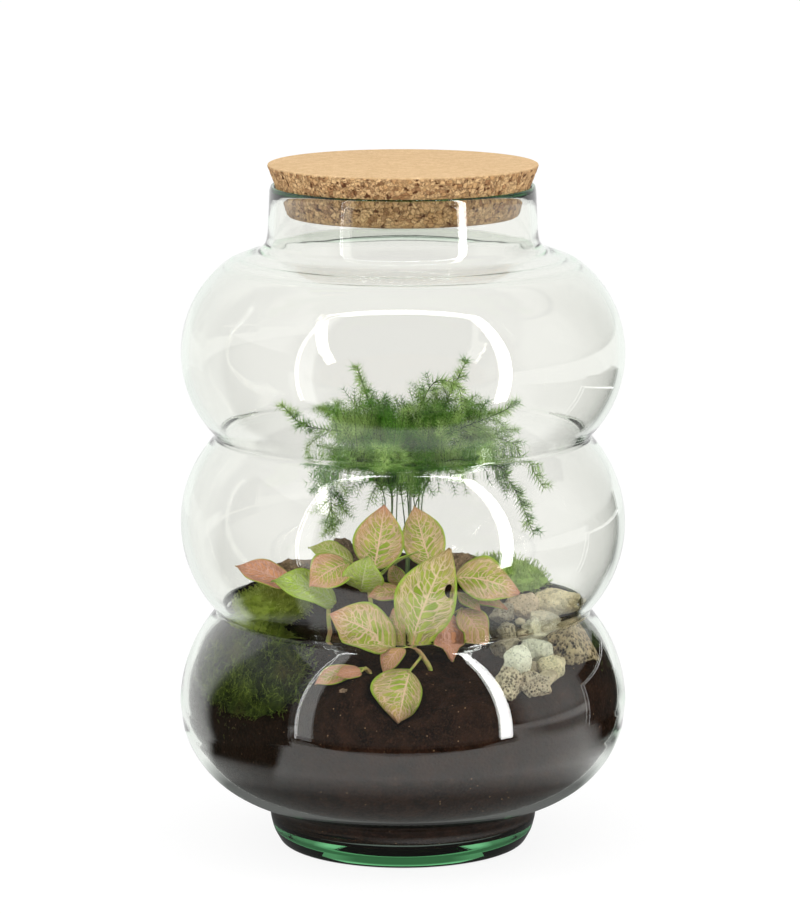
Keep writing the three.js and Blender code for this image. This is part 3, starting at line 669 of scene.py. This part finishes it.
LEAF_STEMS = [  # name, foot, joints, leaves: joint, base, tip, width, face, arch, how pink
    ("front", (11.5, -60), [(8, -61, 95), (2.5, -60, 100.5)], [
        (1, (4, -60.5, 103), (20, -54, 141), 27, (-0.3, -0.9, 0.3), 3, 0.3),
        (1, (-4, -59.5, 99.5), (-31.5, -62, 114.5), 24, (0.1, -0.75, 0.7), 3, 0.4),
        (1, (0.5, -58, 103), (-4, -51, 114.5), 10, (-0.7, -0.7, 0.2), 2, 0.8),
        (1, (0, -61, 98.5), (-8.5, -67, 89), 10.5, (-0.5, -0.7, 0.3), 2, 0.9),
        (0, *HANGING_LEAF, 0.35),
    ]),
    ("middle", (-12, -35), [(-13, -37, 108), (-14.5, -38, 119)], [
        (1, (-12.5, -34.5, 128), (-8, -28, 155), 22, (-0.1, -0.9, 0.3), -2, 0.55),
        (1, (-18, -41, 120), (-15, -48, 136.5), 18, (0, -0.9, 0.2), 2, 0.12),
        (1, (-24, -38, 131), (-40, -47, 123), 19, (-0.1, -0.8, 0.6), 3, 0.7),
        (1, (-22, -30, 130), (-41, -24, 135.5), 13, (0, -0.4, 0.9), 2, 0.2),
        (1, (-10.5, -40.5, 126), (6.5, -45, 138), 9, (-0.4, 0.2, 0.85), 1, 0.1),
    ]),
    ("centre", (5, -42), [(4.5, -42, 106), (4, -42, 117)], [
        (1, (12, -32, 129), (5, -25, 154), 19, (0.1, -0.9, 0.3), -2, 0.35),
        (1, (-1, -44.5, 119.5), (-15, -47, 118.5), 9.5, (-0.1, -0.7, 0.7), 2, 0.8),
        (1, (0.5, -38, 121), (-5.5, -34, 130), 8, (-0.4, -0.8, 0.3), 2, 0.7),
    ]),
    ("right", (20, -36), [(20.5, -38, 108), (21, -40, 119)], [
        (1, (22.5, -42, 126), (50, -38, 118), 23, (0.1, -0.65, 0.75), 3, 0.5),
        (0, (17, -46, 112), (21, -56, 91.5), 14, (0.3, -0.85, 0.3), 1.5, 1.0),
        (0, (25, -44, 112.5), (35, -52, 98), 14, (0.3, -0.8, 0.5), 2, 0.85),
        (1, (24, -43, 118.5), (33, -48, 112.5), 8, (0.2, -0.6, 0.8), 1, 0.7),
        (1, (27, -36, 117), (45, -36, 110.5), 9, (0.2, -0.5, 0.8), 1.5, 0.8),
    ]),
    ("left", (-31, -32), [(-32, -33, 104), (-32, -33, 111)], [
        (1, (-29, -39, 114), (-56, -44, 125), 20, (0.2, -0.5, 0.85), 3, 0.05),
        (1, (-49, -22, 118), (-73, -13, 125), 15, (0.2, -0.6, 0.8), 2, 0.95),
    ]),
    ("low", (-14, -68), [(-15, -69.5, 91), (-16, -70.5, 92)], [
        (1, (-17.5, -72, 91), (-28, -77, 90), 8, (0, -0.6, 0.8), 1, 1.0),
        (1, (-21, -68, 91), (-37, -76, 86.5), 10, (0.1, -0.6, 0.8), 1, 0.8),
    ]),
]
LEAF_ROWS, LEAF_LINES = 38, 20
LEAF_THICKNESS = 0.4
HANGING_FOLD = 0.55
EATEN_AT, EATEN_SIZE = (0.6, 0.68), (0.068, 0.2)  # along and across the flat leaf


def blade_point(frame_of_leaf, width, arch, u, v, fold=0.0):
    """A point of the leaf, whose right half bends back by the fold."""
    start, along, side, up, length = frame_of_leaf
    reach = half_width(width, u) * v
    bow = arch * 4 * u * (1 - u) + 0.12 * abs(reach)
    ripple = 0.05 * width * sin(9 * u + 2 * v) * v * v
    pucker = 0.012 * width * noise(Vector((u * 9, v * 6, width)))
    bent = fold * max(0, -reach)
    reach += 0.8 * bent + 0.3 * fold * max(0, reach)
    return start + along * (length * u) + side * reach + up * (bow + ripple + pucker - bent)


def from_bite(co):
    """The way from the middle of the eaten place, 1 long at its rim."""
    return Vector(((co.x + 0.5 - EATEN_AT[0]) / EATEN_SIZE[0], (-2 * co.y - EATEN_AT[1]) / EATEN_SIZE[1]))


netted_leaf, tree, shader = new_material("netted_leaf")
blade = put(tree, "ShaderNodeSeparateXYZ", {0: put(tree, "ShaderNodeUVMap", uv_map="blade").outputs[0]})
pink = stored(tree, "pink")
waver = times(calc("SUBTRACT", grain(tree, 5, 2), 0.5), 0.09)
u = calc("ADD", blade.outputs[0], waver)
across = calc("SUBTRACT", times(blade.outputs[1], 2.0), 1.0)
s = calc("ABSOLUTE", across)
half = times(calc("GREATER_THAN", across, 0.0), 0.42)
swept = times(calc("POWER", s, 1.25), 0.27)
row = calc("ADD", times(calc("SUBTRACT", u, swept), 9.0), half)
off_vein = calc("PINGPONG", row, 0.5)
side_veins = between(calc("ADD", off_vein, times(s, 0.045)), 0.055, 0.115, 1, 0)
fork = between(s, 0.28, 1.0, 0, 0.36)
forks = between(calc("ABSOLUTE", calc("SUBTRACT", off_vein, fork)), 0.018, 0.06, 1, 0)
forks = times(forks, between(s, 0.25, 0.34))
net_at = {0: times(row, 1.1), 1: times(across, 3.4)}
net_at = {"Vector": put(tree, "ShaderNodeCombineXYZ", net_at).outputs[0], "Scale": 1.0}
net = put(tree, "ShaderNodeTexVoronoi", net_at, feature="DISTANCE_TO_EDGE")
net = between(net.outputs["Distance"], 0.02, 0.085, 0.85, 0)
veins = calc("MAXIMUM", side_veins, forks, net, between(s, 0.022, 0.055, 1, 0))
veins = times(veins, between(s, 0.86, 0.96, 1, 0))
cloudy = between(grain(tree, 14, 2), 0.35, 0.65, 0.3, 1)
wash = times(between(s, 0.15, 0.8, 0.1, 1), cloudy, pink)
wash = times(wash, between(s, 0.86, 0.96, 1, 0.1), 1.15)
at_tip = times(between(u, 0.62, 0.98), between(pink, 0.2, 0.4))
wash = calc("MAXIMUM", wash, between(pink, 0.75, 0.95, 0, 0.85), at_tip)
tissue = faded((0.24, 0.36, 0.025), (0.44, 0.50, 0.08), grain(tree, 6), 0.35, 0.65)
# Painted light: leaves with little pink get a brighter yellow-green tissue, which lightens leaves that turn
# their shaded side to the camera.
tissue = faded(tissue, (0.46, 0.62, 0.10), pink, 0.25, 0.08)
tissue = mixed(wash, tissue, (0.84, 0.33, 0.22))
line_colour = faded((0.62, 0.72, 0.32), (0.90, 0.62, 0.46), pink, 0.05, 0.35)
line_colour = faded(line_colour, (0.90, 0.50, 0.42), pink, 0.45, 1.0)
leaf_colour = mixed(times(veins, 0.92), tissue, line_colour)
leaf_colour = faded(leaf_colour, (0.33, 0.48, 0.05), s, 0.92, 0.99, 0.8)
coat(shader, leaf_colour, 0.5, calc("SUBTRACT", 1.0, veins), 0.35, sheen=0.35)

stalk, tree, shader = new_material("leaf_stalk")
flushed = faded((0.40, 0.48, 0.09), (0.62, 0.34, 0.20), grain(tree, 6), 0.4, 0.65)
coat(shader, flushed, 0.55, grain(tree, 0.6), 0.15)

for name, foot, joints, leaves in LEAF_STEMS:
    leaf_bm, stalk_bm = bmesh.new(), bmesh.new()
    blade_uv = leaf_bm.loops.layers.uv.new("blade")
    pinkness = leaf_bm.verts.layers.float.new("pink")
    top = ground(*foot)
    joints = [Vector(j) for j in joints]
    tube(stalk_bm, smooth_path([(*foot, top - 6), (*foot, top), *joints]), 1.1, 0.9, 8)
    for number, (joint, base, tip, width, face, arch, how_pink) in enumerate(leaves):
        shape = leaf_frame(base, tip, face)
        fold = HANGING_FOLD if base == HANGING_LEAF[0] else 0
        grid = bmesh.ops.create_grid(leaf_bm, x_segments=LEAF_ROWS, y_segments=LEAF_LINES, size=0.5)["verts"]
        faces = {f for v in grid for f in v.link_faces}
        for f in faces:
            for loop in f.loops:
                loop[blade_uv].uv = (loop.vert.co.x + 0.5, 0.5 - loop.vert.co.y)
        if name == "front" and number == 0:
            gone = [f for f in faces if from_bite(f.calc_center_median()).length < 1]
            brink = {v for f in gone for v in f.verts}
            bmesh.ops.delete(leaf_bm, geom=gone, context="FACES")
            for v in brink:
                if v.is_valid:
                    off = from_bite(v.co).normalized()
                    v.co.x = EATEN_AT[0] + EATEN_SIZE[0] * off.x - 0.5
                    v.co.y = -0.5 * (EATEN_AT[1] + EATEN_SIZE[1] * off.y)
        for v in grid:
            if v.is_valid:
                v[pinkness] = how_pink
                v.co = blade_point(shape, width, arch, v.co.x + 0.5, -2 * v.co.y, fold)
        entry = blade_point(shape, width, arch, 0.05, 0) - shape[3] * 0.3
        tube(stalk_bm, smooth_path([joints[joint], Vector(base), entry], 5), 0.62, 0.45, 6)
    turn_outward(stalk_bm)
    leaves_piece = finish(f"leaves_{name}", leaf_bm, netted_leaf, "netted_leaf", f"nerve_plant_{name}")
    thick = leaves_piece.modifiers.new("thickness", "SOLIDIFY")
    thick.thickness, thick.offset = LEAF_THICKNESS / 1000, -1
    finish(f"stalks_{name}", stalk_bm, stalk, "netted_leaf", f"nerve_plant_{name}")

# Asparagus fern. Thirteen wiry fronds from one crown behind the nerve plant. The upper half of each carries
# side twigs, and the twigs are set with whorls of soft needles.

FRONDS = [  # name, foot, path
    ("left_tip", (-4, 15), [(-6, 12, 158), (-22, 4, 178), (-43, -3, 185), (-53, -6, 195)]),
    ("front_left", (-3, 11), [(-5, 6, 156), (-18, -10, 172), (-41, -30, 172)]),
    ("front", (0, 9), [(-1, 2, 158), (-4, -18, 176), (-8, -45, 178)]),
    ("front_right", (3, 11), [(5, 5, 156), (17, -12, 172), (37, -32, 176)]),
    ("right_tip", (5, 15), [(8, 12, 158), (22, 6, 179), (37, 3, 187), (51, 3, 194)]),
    ("right_droop", (6, 19), [(10, 17, 156), (28, 12, 176), (49, 10, 173), (62, 8, 156)]),
    ("right_low", (3, 20), [(8, 22, 152), (26, 20, 167), (46, 17, 159), (58, 13, 134)]),
    ("upright_left", (-2, 14), [(-3, 12, 165), (-12, 6, 186), (-20, 0, 211)]),
    ("curl", (1, 13), [(2, 10, 168), (7, 4, 190), (14, 0, 204), (24, -2, 202), (26, -2, 188)]),
    ("upright_right", (2, 16), [(5, 15, 170), (16, 10, 188), (28, 6, 213)]),
    ("back_left", (-3, 22), [(-6, 26, 158), (-18, 38, 177), (-38, 56, 182)]),
    ("back_right", (1, 23), [(4, 28, 158), (14, 40, 176), (32, 58, 184)]),
    ("low_left", (-5, 24), [(-9, 24, 152), (-22, 20, 165), (-31, 14, 158), (-31, 10, 137)]),
]
HANGING = {"low_left": 9, "front_left": 4, "right_low": 7, "right_droop": 5, "front_right": 4}
SIDE_TWIGS, RISING_TWIGS = 26, 24
CROWN = (-27, 32, 198)  # the twigs between these two sides rise to one height
STEM_BEND = 128  # height of the first bend of each stem
NEEDLE = 4.8
WHORL_STEP = 1.7


def whorl_mesh():
    bm = bmesh.new()
    for k in range(5):
        little_leaf(bm, (0, 0, 0), k * tau / 5, 0.95, NEEDLE, 0.14)
    return to_mesh("whorl", weld(bm))


def along_line(line, share):
    """Point and direction at a share of the line's length."""
    marks = [0.0]
    for a, b in zip(line, line[1:]):
        marks.append(marks[-1] + (b - a).length)
    at = marks[-1] * share
    i = clamp(bisect.bisect_right(marks, at) - 1, 0, len(line) - 2)
    t = (at - marks[i]) / (marks[i + 1] - marks[i])
    return line[i].lerp(line[i + 1], t), (line[i + 1] - line[i]).normalized(), marks[-1]


def dressed(bm, line, draw, small=1.0):
    """Whorls of needles along a twig."""
    length = along_line(line, 0)[2]
    count = max(3, round(length / WHORL_STEP))
    for k in range(count):
        at, ahead, _ = along_line(line, (k + 0.7) / count)
        size = draw.uniform(0.7, 1.1) * small * (1 - 0.35 * (k / count) ** 3)
        stamp(bm, whorl, at, ahead, draw.random() * 6, size)


def strayed(draw, spread, rise=1):
    return Vector((draw.gauss(0, spread), draw.gauss(0, spread), rise))


def twig_line(start, way, length, droop, draw):
    middle = start + way * length * 0.55 + strayed(draw, 0.5, length * 0.05)
    return smooth_path([start, middle, start + way * length - Vector((0, 0, length * droop))], 3)


fern_green, tree, shader = new_material("fern_needles")
deep = between(grain(tree, 2.5), 0.35, 0.65)
needle_colour = mixed(deep, (0.07, 0.24, 0.015), (0.17, 0.40, 0.05))
needle_colour = faded(needle_colour, (0.50, 0.70, 0.22), grain(tree, 16, 3), 0.42, 0.62)
coat(shader, needle_colour, 0.55, deep, 0.05, sheen=0.3)

fern_wood, tree, shader = new_material("fern_stems")
aged = faded((0.05, 0.09, 0.025), (0.13, 0.19, 0.06), grain(tree, 9), 0.4, 0.6)
coat(shader, aged, 0.6, grain(tree, 0.7), 0.08)

whorl = whorl_mesh()
for number, (name, foot, path) in enumerate(FRONDS):
    draw = random.Random(300 + number)
    top = ground(*foot)
    x, y = foot[0] * 0.6 + path[0][0] * 0.4, foot[1] * 0.5 + path[0][1] * 0.5
    bend = Vector((x + draw.gauss(0, 1.6), y + draw.gauss(0, 1.6), STEM_BEND))
    stem = smooth_path([(*foot, top - 5), (*foot, top), bend, *path], 5)
    needle_bm, stem_bm = bmesh.new(), bmesh.new()
    tube(stem_bm, stem, 0.34, 0.18, 6)
    last = SIDE_TWIGS - 1
    for k in range(SIDE_TWIGS):
        share = 0.50 + 0.48 * (k + draw.uniform(-0.3, 0.3)) / last
        at, ahead, _ = along_line(stem, min(share, 0.985))
        level = ahead.cross(Vector((0, 0, 1))).normalized()
        way = (Matrix.Rotation(draw.gauss(0, 1.0), 3, ahead) @ level) * (1 if k % 2 else -1)
        way += ahead * draw.uniform(0.6, 1.0)
        way.z = abs(way.z) if k < 10 else way.z
        thin = at.z > 192 or not -32 < at.x < 40
        if thin and k % 3 == 0:
            continue
        length = (20 - 13 * (k / last) ** 1.2) * (0.6 if thin else 1)
        reach, droop = length * draw.uniform(0.8, 1.1), draw.uniform(-0.05, 0.15)
        line = twig_line(at, way.normalized(), reach, droop, draw)
        tube(stem_bm, line, 0.2, 0.1, 3)
        dressed(needle_bm, line, draw)
        for j in range(2 if thin else 4):
            at2, ahead2, _ = along_line(line, 0.2 + 0.2 * j)
            out = ahead2.cross(strayed(draw, 0.4)).normalized() * (1 if j % 2 else -1)
            out = (out + ahead2 * 0.9).normalized()
            dressed(needle_bm, twig_line(at2, out, length * draw.uniform(0.3, 0.45), 0.05, draw), draw, 0.85)
    for _ in range(RISING_TWIGS):
        at = along_line(stem, draw.uniform(0.47, 0.78))[0]
        way = strayed(draw, 0.4).normalized()
        tall = CROWN[2] - draw.uniform(0, 9) - at.z if CROWN[0] < at.x < CROWN[1] else 10
        line = twig_line(at, way, clamp(tall, 7, 26), -0.02, draw)
        tube(stem_bm, line, 0.18, 0.1, 3)
        dressed(needle_bm, line, draw)
    for _ in range(HANGING.get(name, 0)):
        at = along_line(stem, draw.uniform(0.50, 0.74))[0]
        way = Vector((draw.gauss(0, 0.5), draw.gauss(0, 0.5), -draw.uniform(0.5, 1.1))).normalized()
        line = twig_line(at, way, draw.uniform(9, 17), 0.1, draw)
        tube(stem_bm, line, 0.16, 0.09, 3)
        dressed(needle_bm, line, draw, 0.9)
    for _ in range(3):
        dressed(needle_bm, stem[-12:], draw, 1.2)
    turn_outward(stem_bm)
    finish(f"needles_{name}", needle_bm, fern_green, "fern", f"fern_frond_{name}")
    finish(f"stems_{name}", stem_bm, fern_wood, "fern", f"fern_frond_{name}")

# Cork. A tapered stopper turned from pressed cork granules: fine and pale on its sanded top, coarse on its
# side, where grains have broken out. It rests in the neck by its own taper.

CORK_BASE, CORK_TOP = 277.5, 300
CORK_OUTLINE = [
    (0, CORK_BASE), (49.6, CORK_BASE), (50.5, 278.2), (58.9, 299.4), (58.3, CORK_TOP), (0, CORK_TOP),
]
CORK_AROUND = 180
GRANULES = 480.0  # how many granules lie in a metre
cork_bm = lathe(softened(CORK_OUTLINE, 0.7, 1, -1), CORK_AROUND)
for v in cork_bm.verts:
    r = hypot(v.co.x, v.co.y)
    if CORK_BASE + 0.3 < v.co.z < CORK_TOP - 0.4 and r > 40:
        near, next_near = voronoi(v.co / 2.3)[0][:2]
        crevice = max(0, 0.28 - (next_near - near)) * 3 * clamp(0.5 + 1.6 * noise(v.co / 6))
        inward = 0.55 * crevice + 0.18 * abs(noise(v.co / 1.1))
        v.co.x -= v.co.x / r * inward
        v.co.y -= v.co.y / r * inward

pressed_cork, tree, shader = new_material("pressed_cork")
on_top = between(axes_of(tree)[2], 0.2990, 0.2998)
shift = {0: grain(tree, 1.2, 4, "Color"), 3: 0.003}
shift = put(tree, "ShaderNodeVectorMath", shift, operation="SCALE").outputs[0]
torn = put(tree, "ShaderNodeVectorMath", {0: place_on(tree), 1: shift}, operation="ADD").outputs[0]
torn = {"Vector": torn, "Scale": GRANULES}
chunk = put(tree, "ShaderNodeTexVoronoi", torn).outputs["Color"]
seam = put(tree, "ShaderNodeTexVoronoi", torn, feature="DISTANCE_TO_EDGE").outputs["Distance"]
tone = put(tree, "ShaderNodeSeparateColor", {0: chunk}).outputs
fine_cork, big_cork = place_grit(tree, 0.7)["Fine"], place_grit(tree, 5.0)["Fine"]
side_colour = mixed(tone[0], (0.52, 0.30, 0.13), (0.74, 0.49, 0.25))
for dark_grain in (between(tone[1], 0.75, 0.9, 0, 0.8), between(fine_cork, 0.48, 0.72, 0, 0.75)):
    side_colour = mixed(dark_grain, side_colour, (0.26, 0.12, 0.05))
# Painted shade: the gaps where grains have broken out are coloured near black.
broken_out_shade = times(between(seam, 0.08, 0.02, 0, 0.7), between(big_cork, 0.45, 0.62))
broken_out_shade = calc("MAXIMUM", broken_out_shade, between(grain(tree, 2.4, 5), 0.585, 0.65))
side_colour = mixed(broken_out_shade, side_colour, (0.13, 0.05, 0.02))
top_colour = mixed(tone[0], (0.68, 0.46, 0.24), (0.78, 0.55, 0.31))
top_colour = faded(top_colour, (0.56, 0.32, 0.15), fine_cork, 0.50, 0.64, 0.5)
dents = calc("ADD", fine_cork, between(seam, 0.0, 0.12))
dents = times(dents, between(on_top, 0, 1, 1, 0.35))
coat(shader, mixed(on_top, side_colour, top_colour), 0.85, dents, 0.5, sheen=0.2)
finish("cork", cork_bm, pressed_cork, "cork", "cork_stopper")

# Studio. A pale floor in soft light. Two upright light strips and one across the top stand in front of the
# jar, and their mirror images draw the bright frames on the bulbs. Cards stand for the rest that the glass
# mirrors. The camera stands where the photograph was taken.

CAMERA_HEIGHT = 0.505
CAMERA_BACK = 1.9
LOOK_DOWN = 9.97
LENS = 173.8
RIGHT_OF_MIDDLE = 3 / 914  # how far right of the picture's middle the jar stands, over the height
FLOOR_HALF = 30
STRIP_X, STRIP_Y, STRIP_TOP = 0.42, -0.34, 0.85
STRIPS = [  # name, inner edge, outer edge, depth, glow
    ("left_strip", -0.315, -0.42, -0.34, 1.6),
    ("left_strip_edge", -0.404, -0.418, -0.336, 9.0),
    ("right_strip", 0.352, 0.432, -0.336, 18.0),
]


def board_piece(name, corners):
    bm = bmesh.new()
    bmesh.ops.create_grid(bm, x_segments=1, y_segments=1, size=1)
    for v, corner in zip(sorted(bm.verts, key=lambda v: (v.co.y, v.co.x)), corners):
        v.co = corner
    board = bpy.data.objects.new(name, to_mesh(name, bm))
    scene.collection.objects.link(board)
    return board


def lying(half, z):
    return [(-half, -half, z), (half, -half, z), (-half, half, z), (half, half, z)]


def upright_board(start, end, low, high):
    return [(*start, low), (*end, low), (*start, high), (*end, high)]


def card(name, corners, shade):
    """A board that only shows where the glass mirrors it, and is clear to look through."""
    board = board_piece(name, corners)
    material, tree, _ = new_material(name)
    glow = put(tree, "ShaderNodeEmission", {"Color": (1, 1, 1, 1), "Strength": shade})
    mirrored = calc("GREATER_THAN", put(tree, "ShaderNodeLightPath").outputs["Glossy Depth"], 0.5)
    clear = put(tree, "ShaderNodeBsdfTransparent")
    either = put(tree, "ShaderNodeMixShader", {0: mirrored, 1: clear.outputs[0], 2: glow.outputs[0]})
    feed(tree.nodes["Material Output"], {"Surface": either.outputs[0]})
    material.cycles.emission_sampling = "NONE"
    board.data.materials.append(material)
    board.visible_camera = board.visible_diffuse = board.visible_shadow = False
    return tree, glow.inputs["Strength"]


def lamp(name, at, aim, size, glow):
    light = bpy.data.lights.new(name, "AREA")
    light.shape = "RECTANGLE"
    light.size, light.size_y = size
    light.energy = glow * pi * size[0] * size[1]
    light.cycles.use_multiple_importance_sampling = False
    stand_in = bpy.data.objects.new(name, light)
    stand_in.location = at
    stand_in.rotation_euler = (Vector(aim) - Vector(at)).to_track_quat("-Z", "Y").to_euler()
    stand_in.visible_camera = stand_in.visible_transmission = stand_in.visible_glossy = False
    scene.collection.objects.link(stand_in)


def away(tree):
    """How far the point is from the jar's axis, on the table."""
    return put(tree, "ShaderNodeVectorMath", {0: place_on(tree)}, operation="LENGTH").outputs["Value"]


scene = bpy.context.scene
floor = board_piece("floor", lying(FLOOR_HALF, -0.0002))
lit_table, tree, shader = new_material("lit_table")
# Painted shadow: the table's glow falls almost to nothing under the jar's foot.
glow = between(away(tree), 0.044, 0.054, 0.03, 0.88)
feed(shader, {"Base Color": (0.13, 0.13, 0.129, 1), "Roughness": 0.9, "Specular IOR Level": 0.1})
feed(shader, {"Emission Color": (1, 1, 1, 1), "Emission Strength": glow})
floor.data.materials.append(lit_table)

card("room_beyond", upright_board((-0.40, -0.35), (0.40, -0.35), 0.001, 0.83), 0.12)

tree, shade = card("left_wall", upright_board((-0.2, -0.17), (-0.2, 0.04), 0.001, 0.27), 1.0)
_, y, z = axes_of(tree)
brow = between(z, 0.10, 0.17, 0.015, 0.30)
end = calc("SUBTRACT", y, between(z, 0.07, 0.17, 0.018, -0.024))
tree.links.new(calc("MAXIMUM", brow, between(end, -0.014, 0.014, 0.0, 0.85)), shade)

tree, shade = card("right_wall", upright_board((0.35, 0.042), (0.25, 0.235), 0.001, 0.16), 0.02)
_, y, z = axes_of(tree)
below_rim = between(z, 0.125, 0.123)
rim = times(between(z, 0.120, 0.122), below_rim)
rim = calc("MAXIMUM", rim, times(between(y, 0.047, 0.045), below_rim))
tree.links.new(between(rim, 0.0, 1.0, 0.02, 2.5), shade)

tree, shade = card("table_mirrored", lying(1, -0.0001), 1.0)
x, y, _ = axes_of(tree)
out = away(tree)
bearing = calc("ARCTAN2", x, times(y, -1.0))
on_left = times(between(bearing, -1.80, -1.66), between(bearing, -0.9, -0.96))
on_left = times(on_left, between(out, 0.10, 0.16), between(out, 0.28, 0.23))
on_right = times(between(bearing, 1.56, 1.86), between(bearing, 2.40, 2.26))
on_right = times(on_right, between(out, 0.13, 0.20))
past = times(between(bearing, 1.0, 1.3), between(bearing, 2.60, 2.45))
past = times(past, between(out, 0.34, 0.46, 0.0, 0.6))
to_side = calc("ABSOLUTE", bearing)
ahead = times(between(to_side, 0.98, 0.92), between(y, -0.232, -0.238))
dim = calc("MAXIMUM", on_right, past, on_left, ahead)
shadow = between(out, 0.098, 0.14, 0.14, 0.92)
tree.links.new(times(shadow, calc("SUBTRACT", 1.0, dim)), shade)

for name, inner, outer, front, glow in STRIPS:
    card(name, upright_board((inner, front - 0.005), (outer, front + 0.005), 0, STRIP_TOP), glow)
for name, side in (("left_light", -1), ("right_light", 1)):
    lamp(name, (side * STRIP_X, STRIP_Y, STRIP_TOP / 2), (0, 0, STRIP_TOP / 2), (0.07, STRIP_TOP), 9)
top_edges = [(-0.35, STRIP_TOP - 0.012), (-0.33, STRIP_TOP + 0.012)]
card("top_strip", [(x, y, z) for y, z in top_edges for x in (-STRIP_X, STRIP_X)], 18.0)
lamp("top_light", (0, STRIP_Y, STRIP_TOP), (0, 0, 0.2), (2 * STRIP_X, 0.03), 9)

world = bpy.data.worlds.new("soft_white")
scene.world = world
world.use_nodes = True
sky = world.node_tree
rays = put(sky, "ShaderNodeLightPath").outputs
x, y, z = axes_of(sky, "Generated")
behind_right = times(between(x, 0.5, 0.75), between(y, 0.1, 0.4, 0.0, 0.35))
low_right = times(between(x, 0.3, 0.8), between(z, 0.06, -0.06, 0.0, 0.4))
to_right, to_left = between(x, 0.3, 0.8, 0.0, 0.25), between(x, -0.3, -0.8, 0.0, 0.12)
mirrored = between(y, -0.62, -0.35, 0.06, 0.95)
mirrored = calc("SUBTRACT", mirrored, to_right, behind_right, to_left, low_right)
mirrored = calc("MAXIMUM", mirrored, 0.05)
straight = calc("MAXIMUM", rays["Is Camera Ray"], rays["Is Transmission Ray"])
straight = between(straight, 0, 1, 0.95, 1.0)
shown = {0: calc("GREATER_THAN", rays["Glossy Depth"], 0.5), 2: straight, 3: mirrored}
level = put(sky, "ShaderNodeMix", shown).outputs[0]
feed(sky.nodes["Background"], {"Color": (1, 1, 1, 1), "Strength": level})

lens = bpy.data.cameras.new("camera")
lens.lens = LENS
lens.shift_x = -RIGHT_OF_MIDDLE
lens.clip_start, lens.clip_end = 0.05, 100
camera = bpy.data.objects.new("camera", lens)
camera.location = (0, -CAMERA_BACK, CAMERA_HEIGHT)
camera.rotation_euler = (radians(90 - LOOK_DOWN), 0, 0)
scene.collection.objects.link(camera)
scene.camera = camera
scene.view_settings.view_transform = "Standard"
scene.cycles.use_denoising = True
scene.cycles.caustics_reflective = False
scene.cycles.caustics_refractive = True
scene.cycles.max_bounces = 20
scene.cycles.transmission_bounces = 18
scene.cycles.glossy_bounces = 12
scene.cycles.transparent_max_bounces = 24
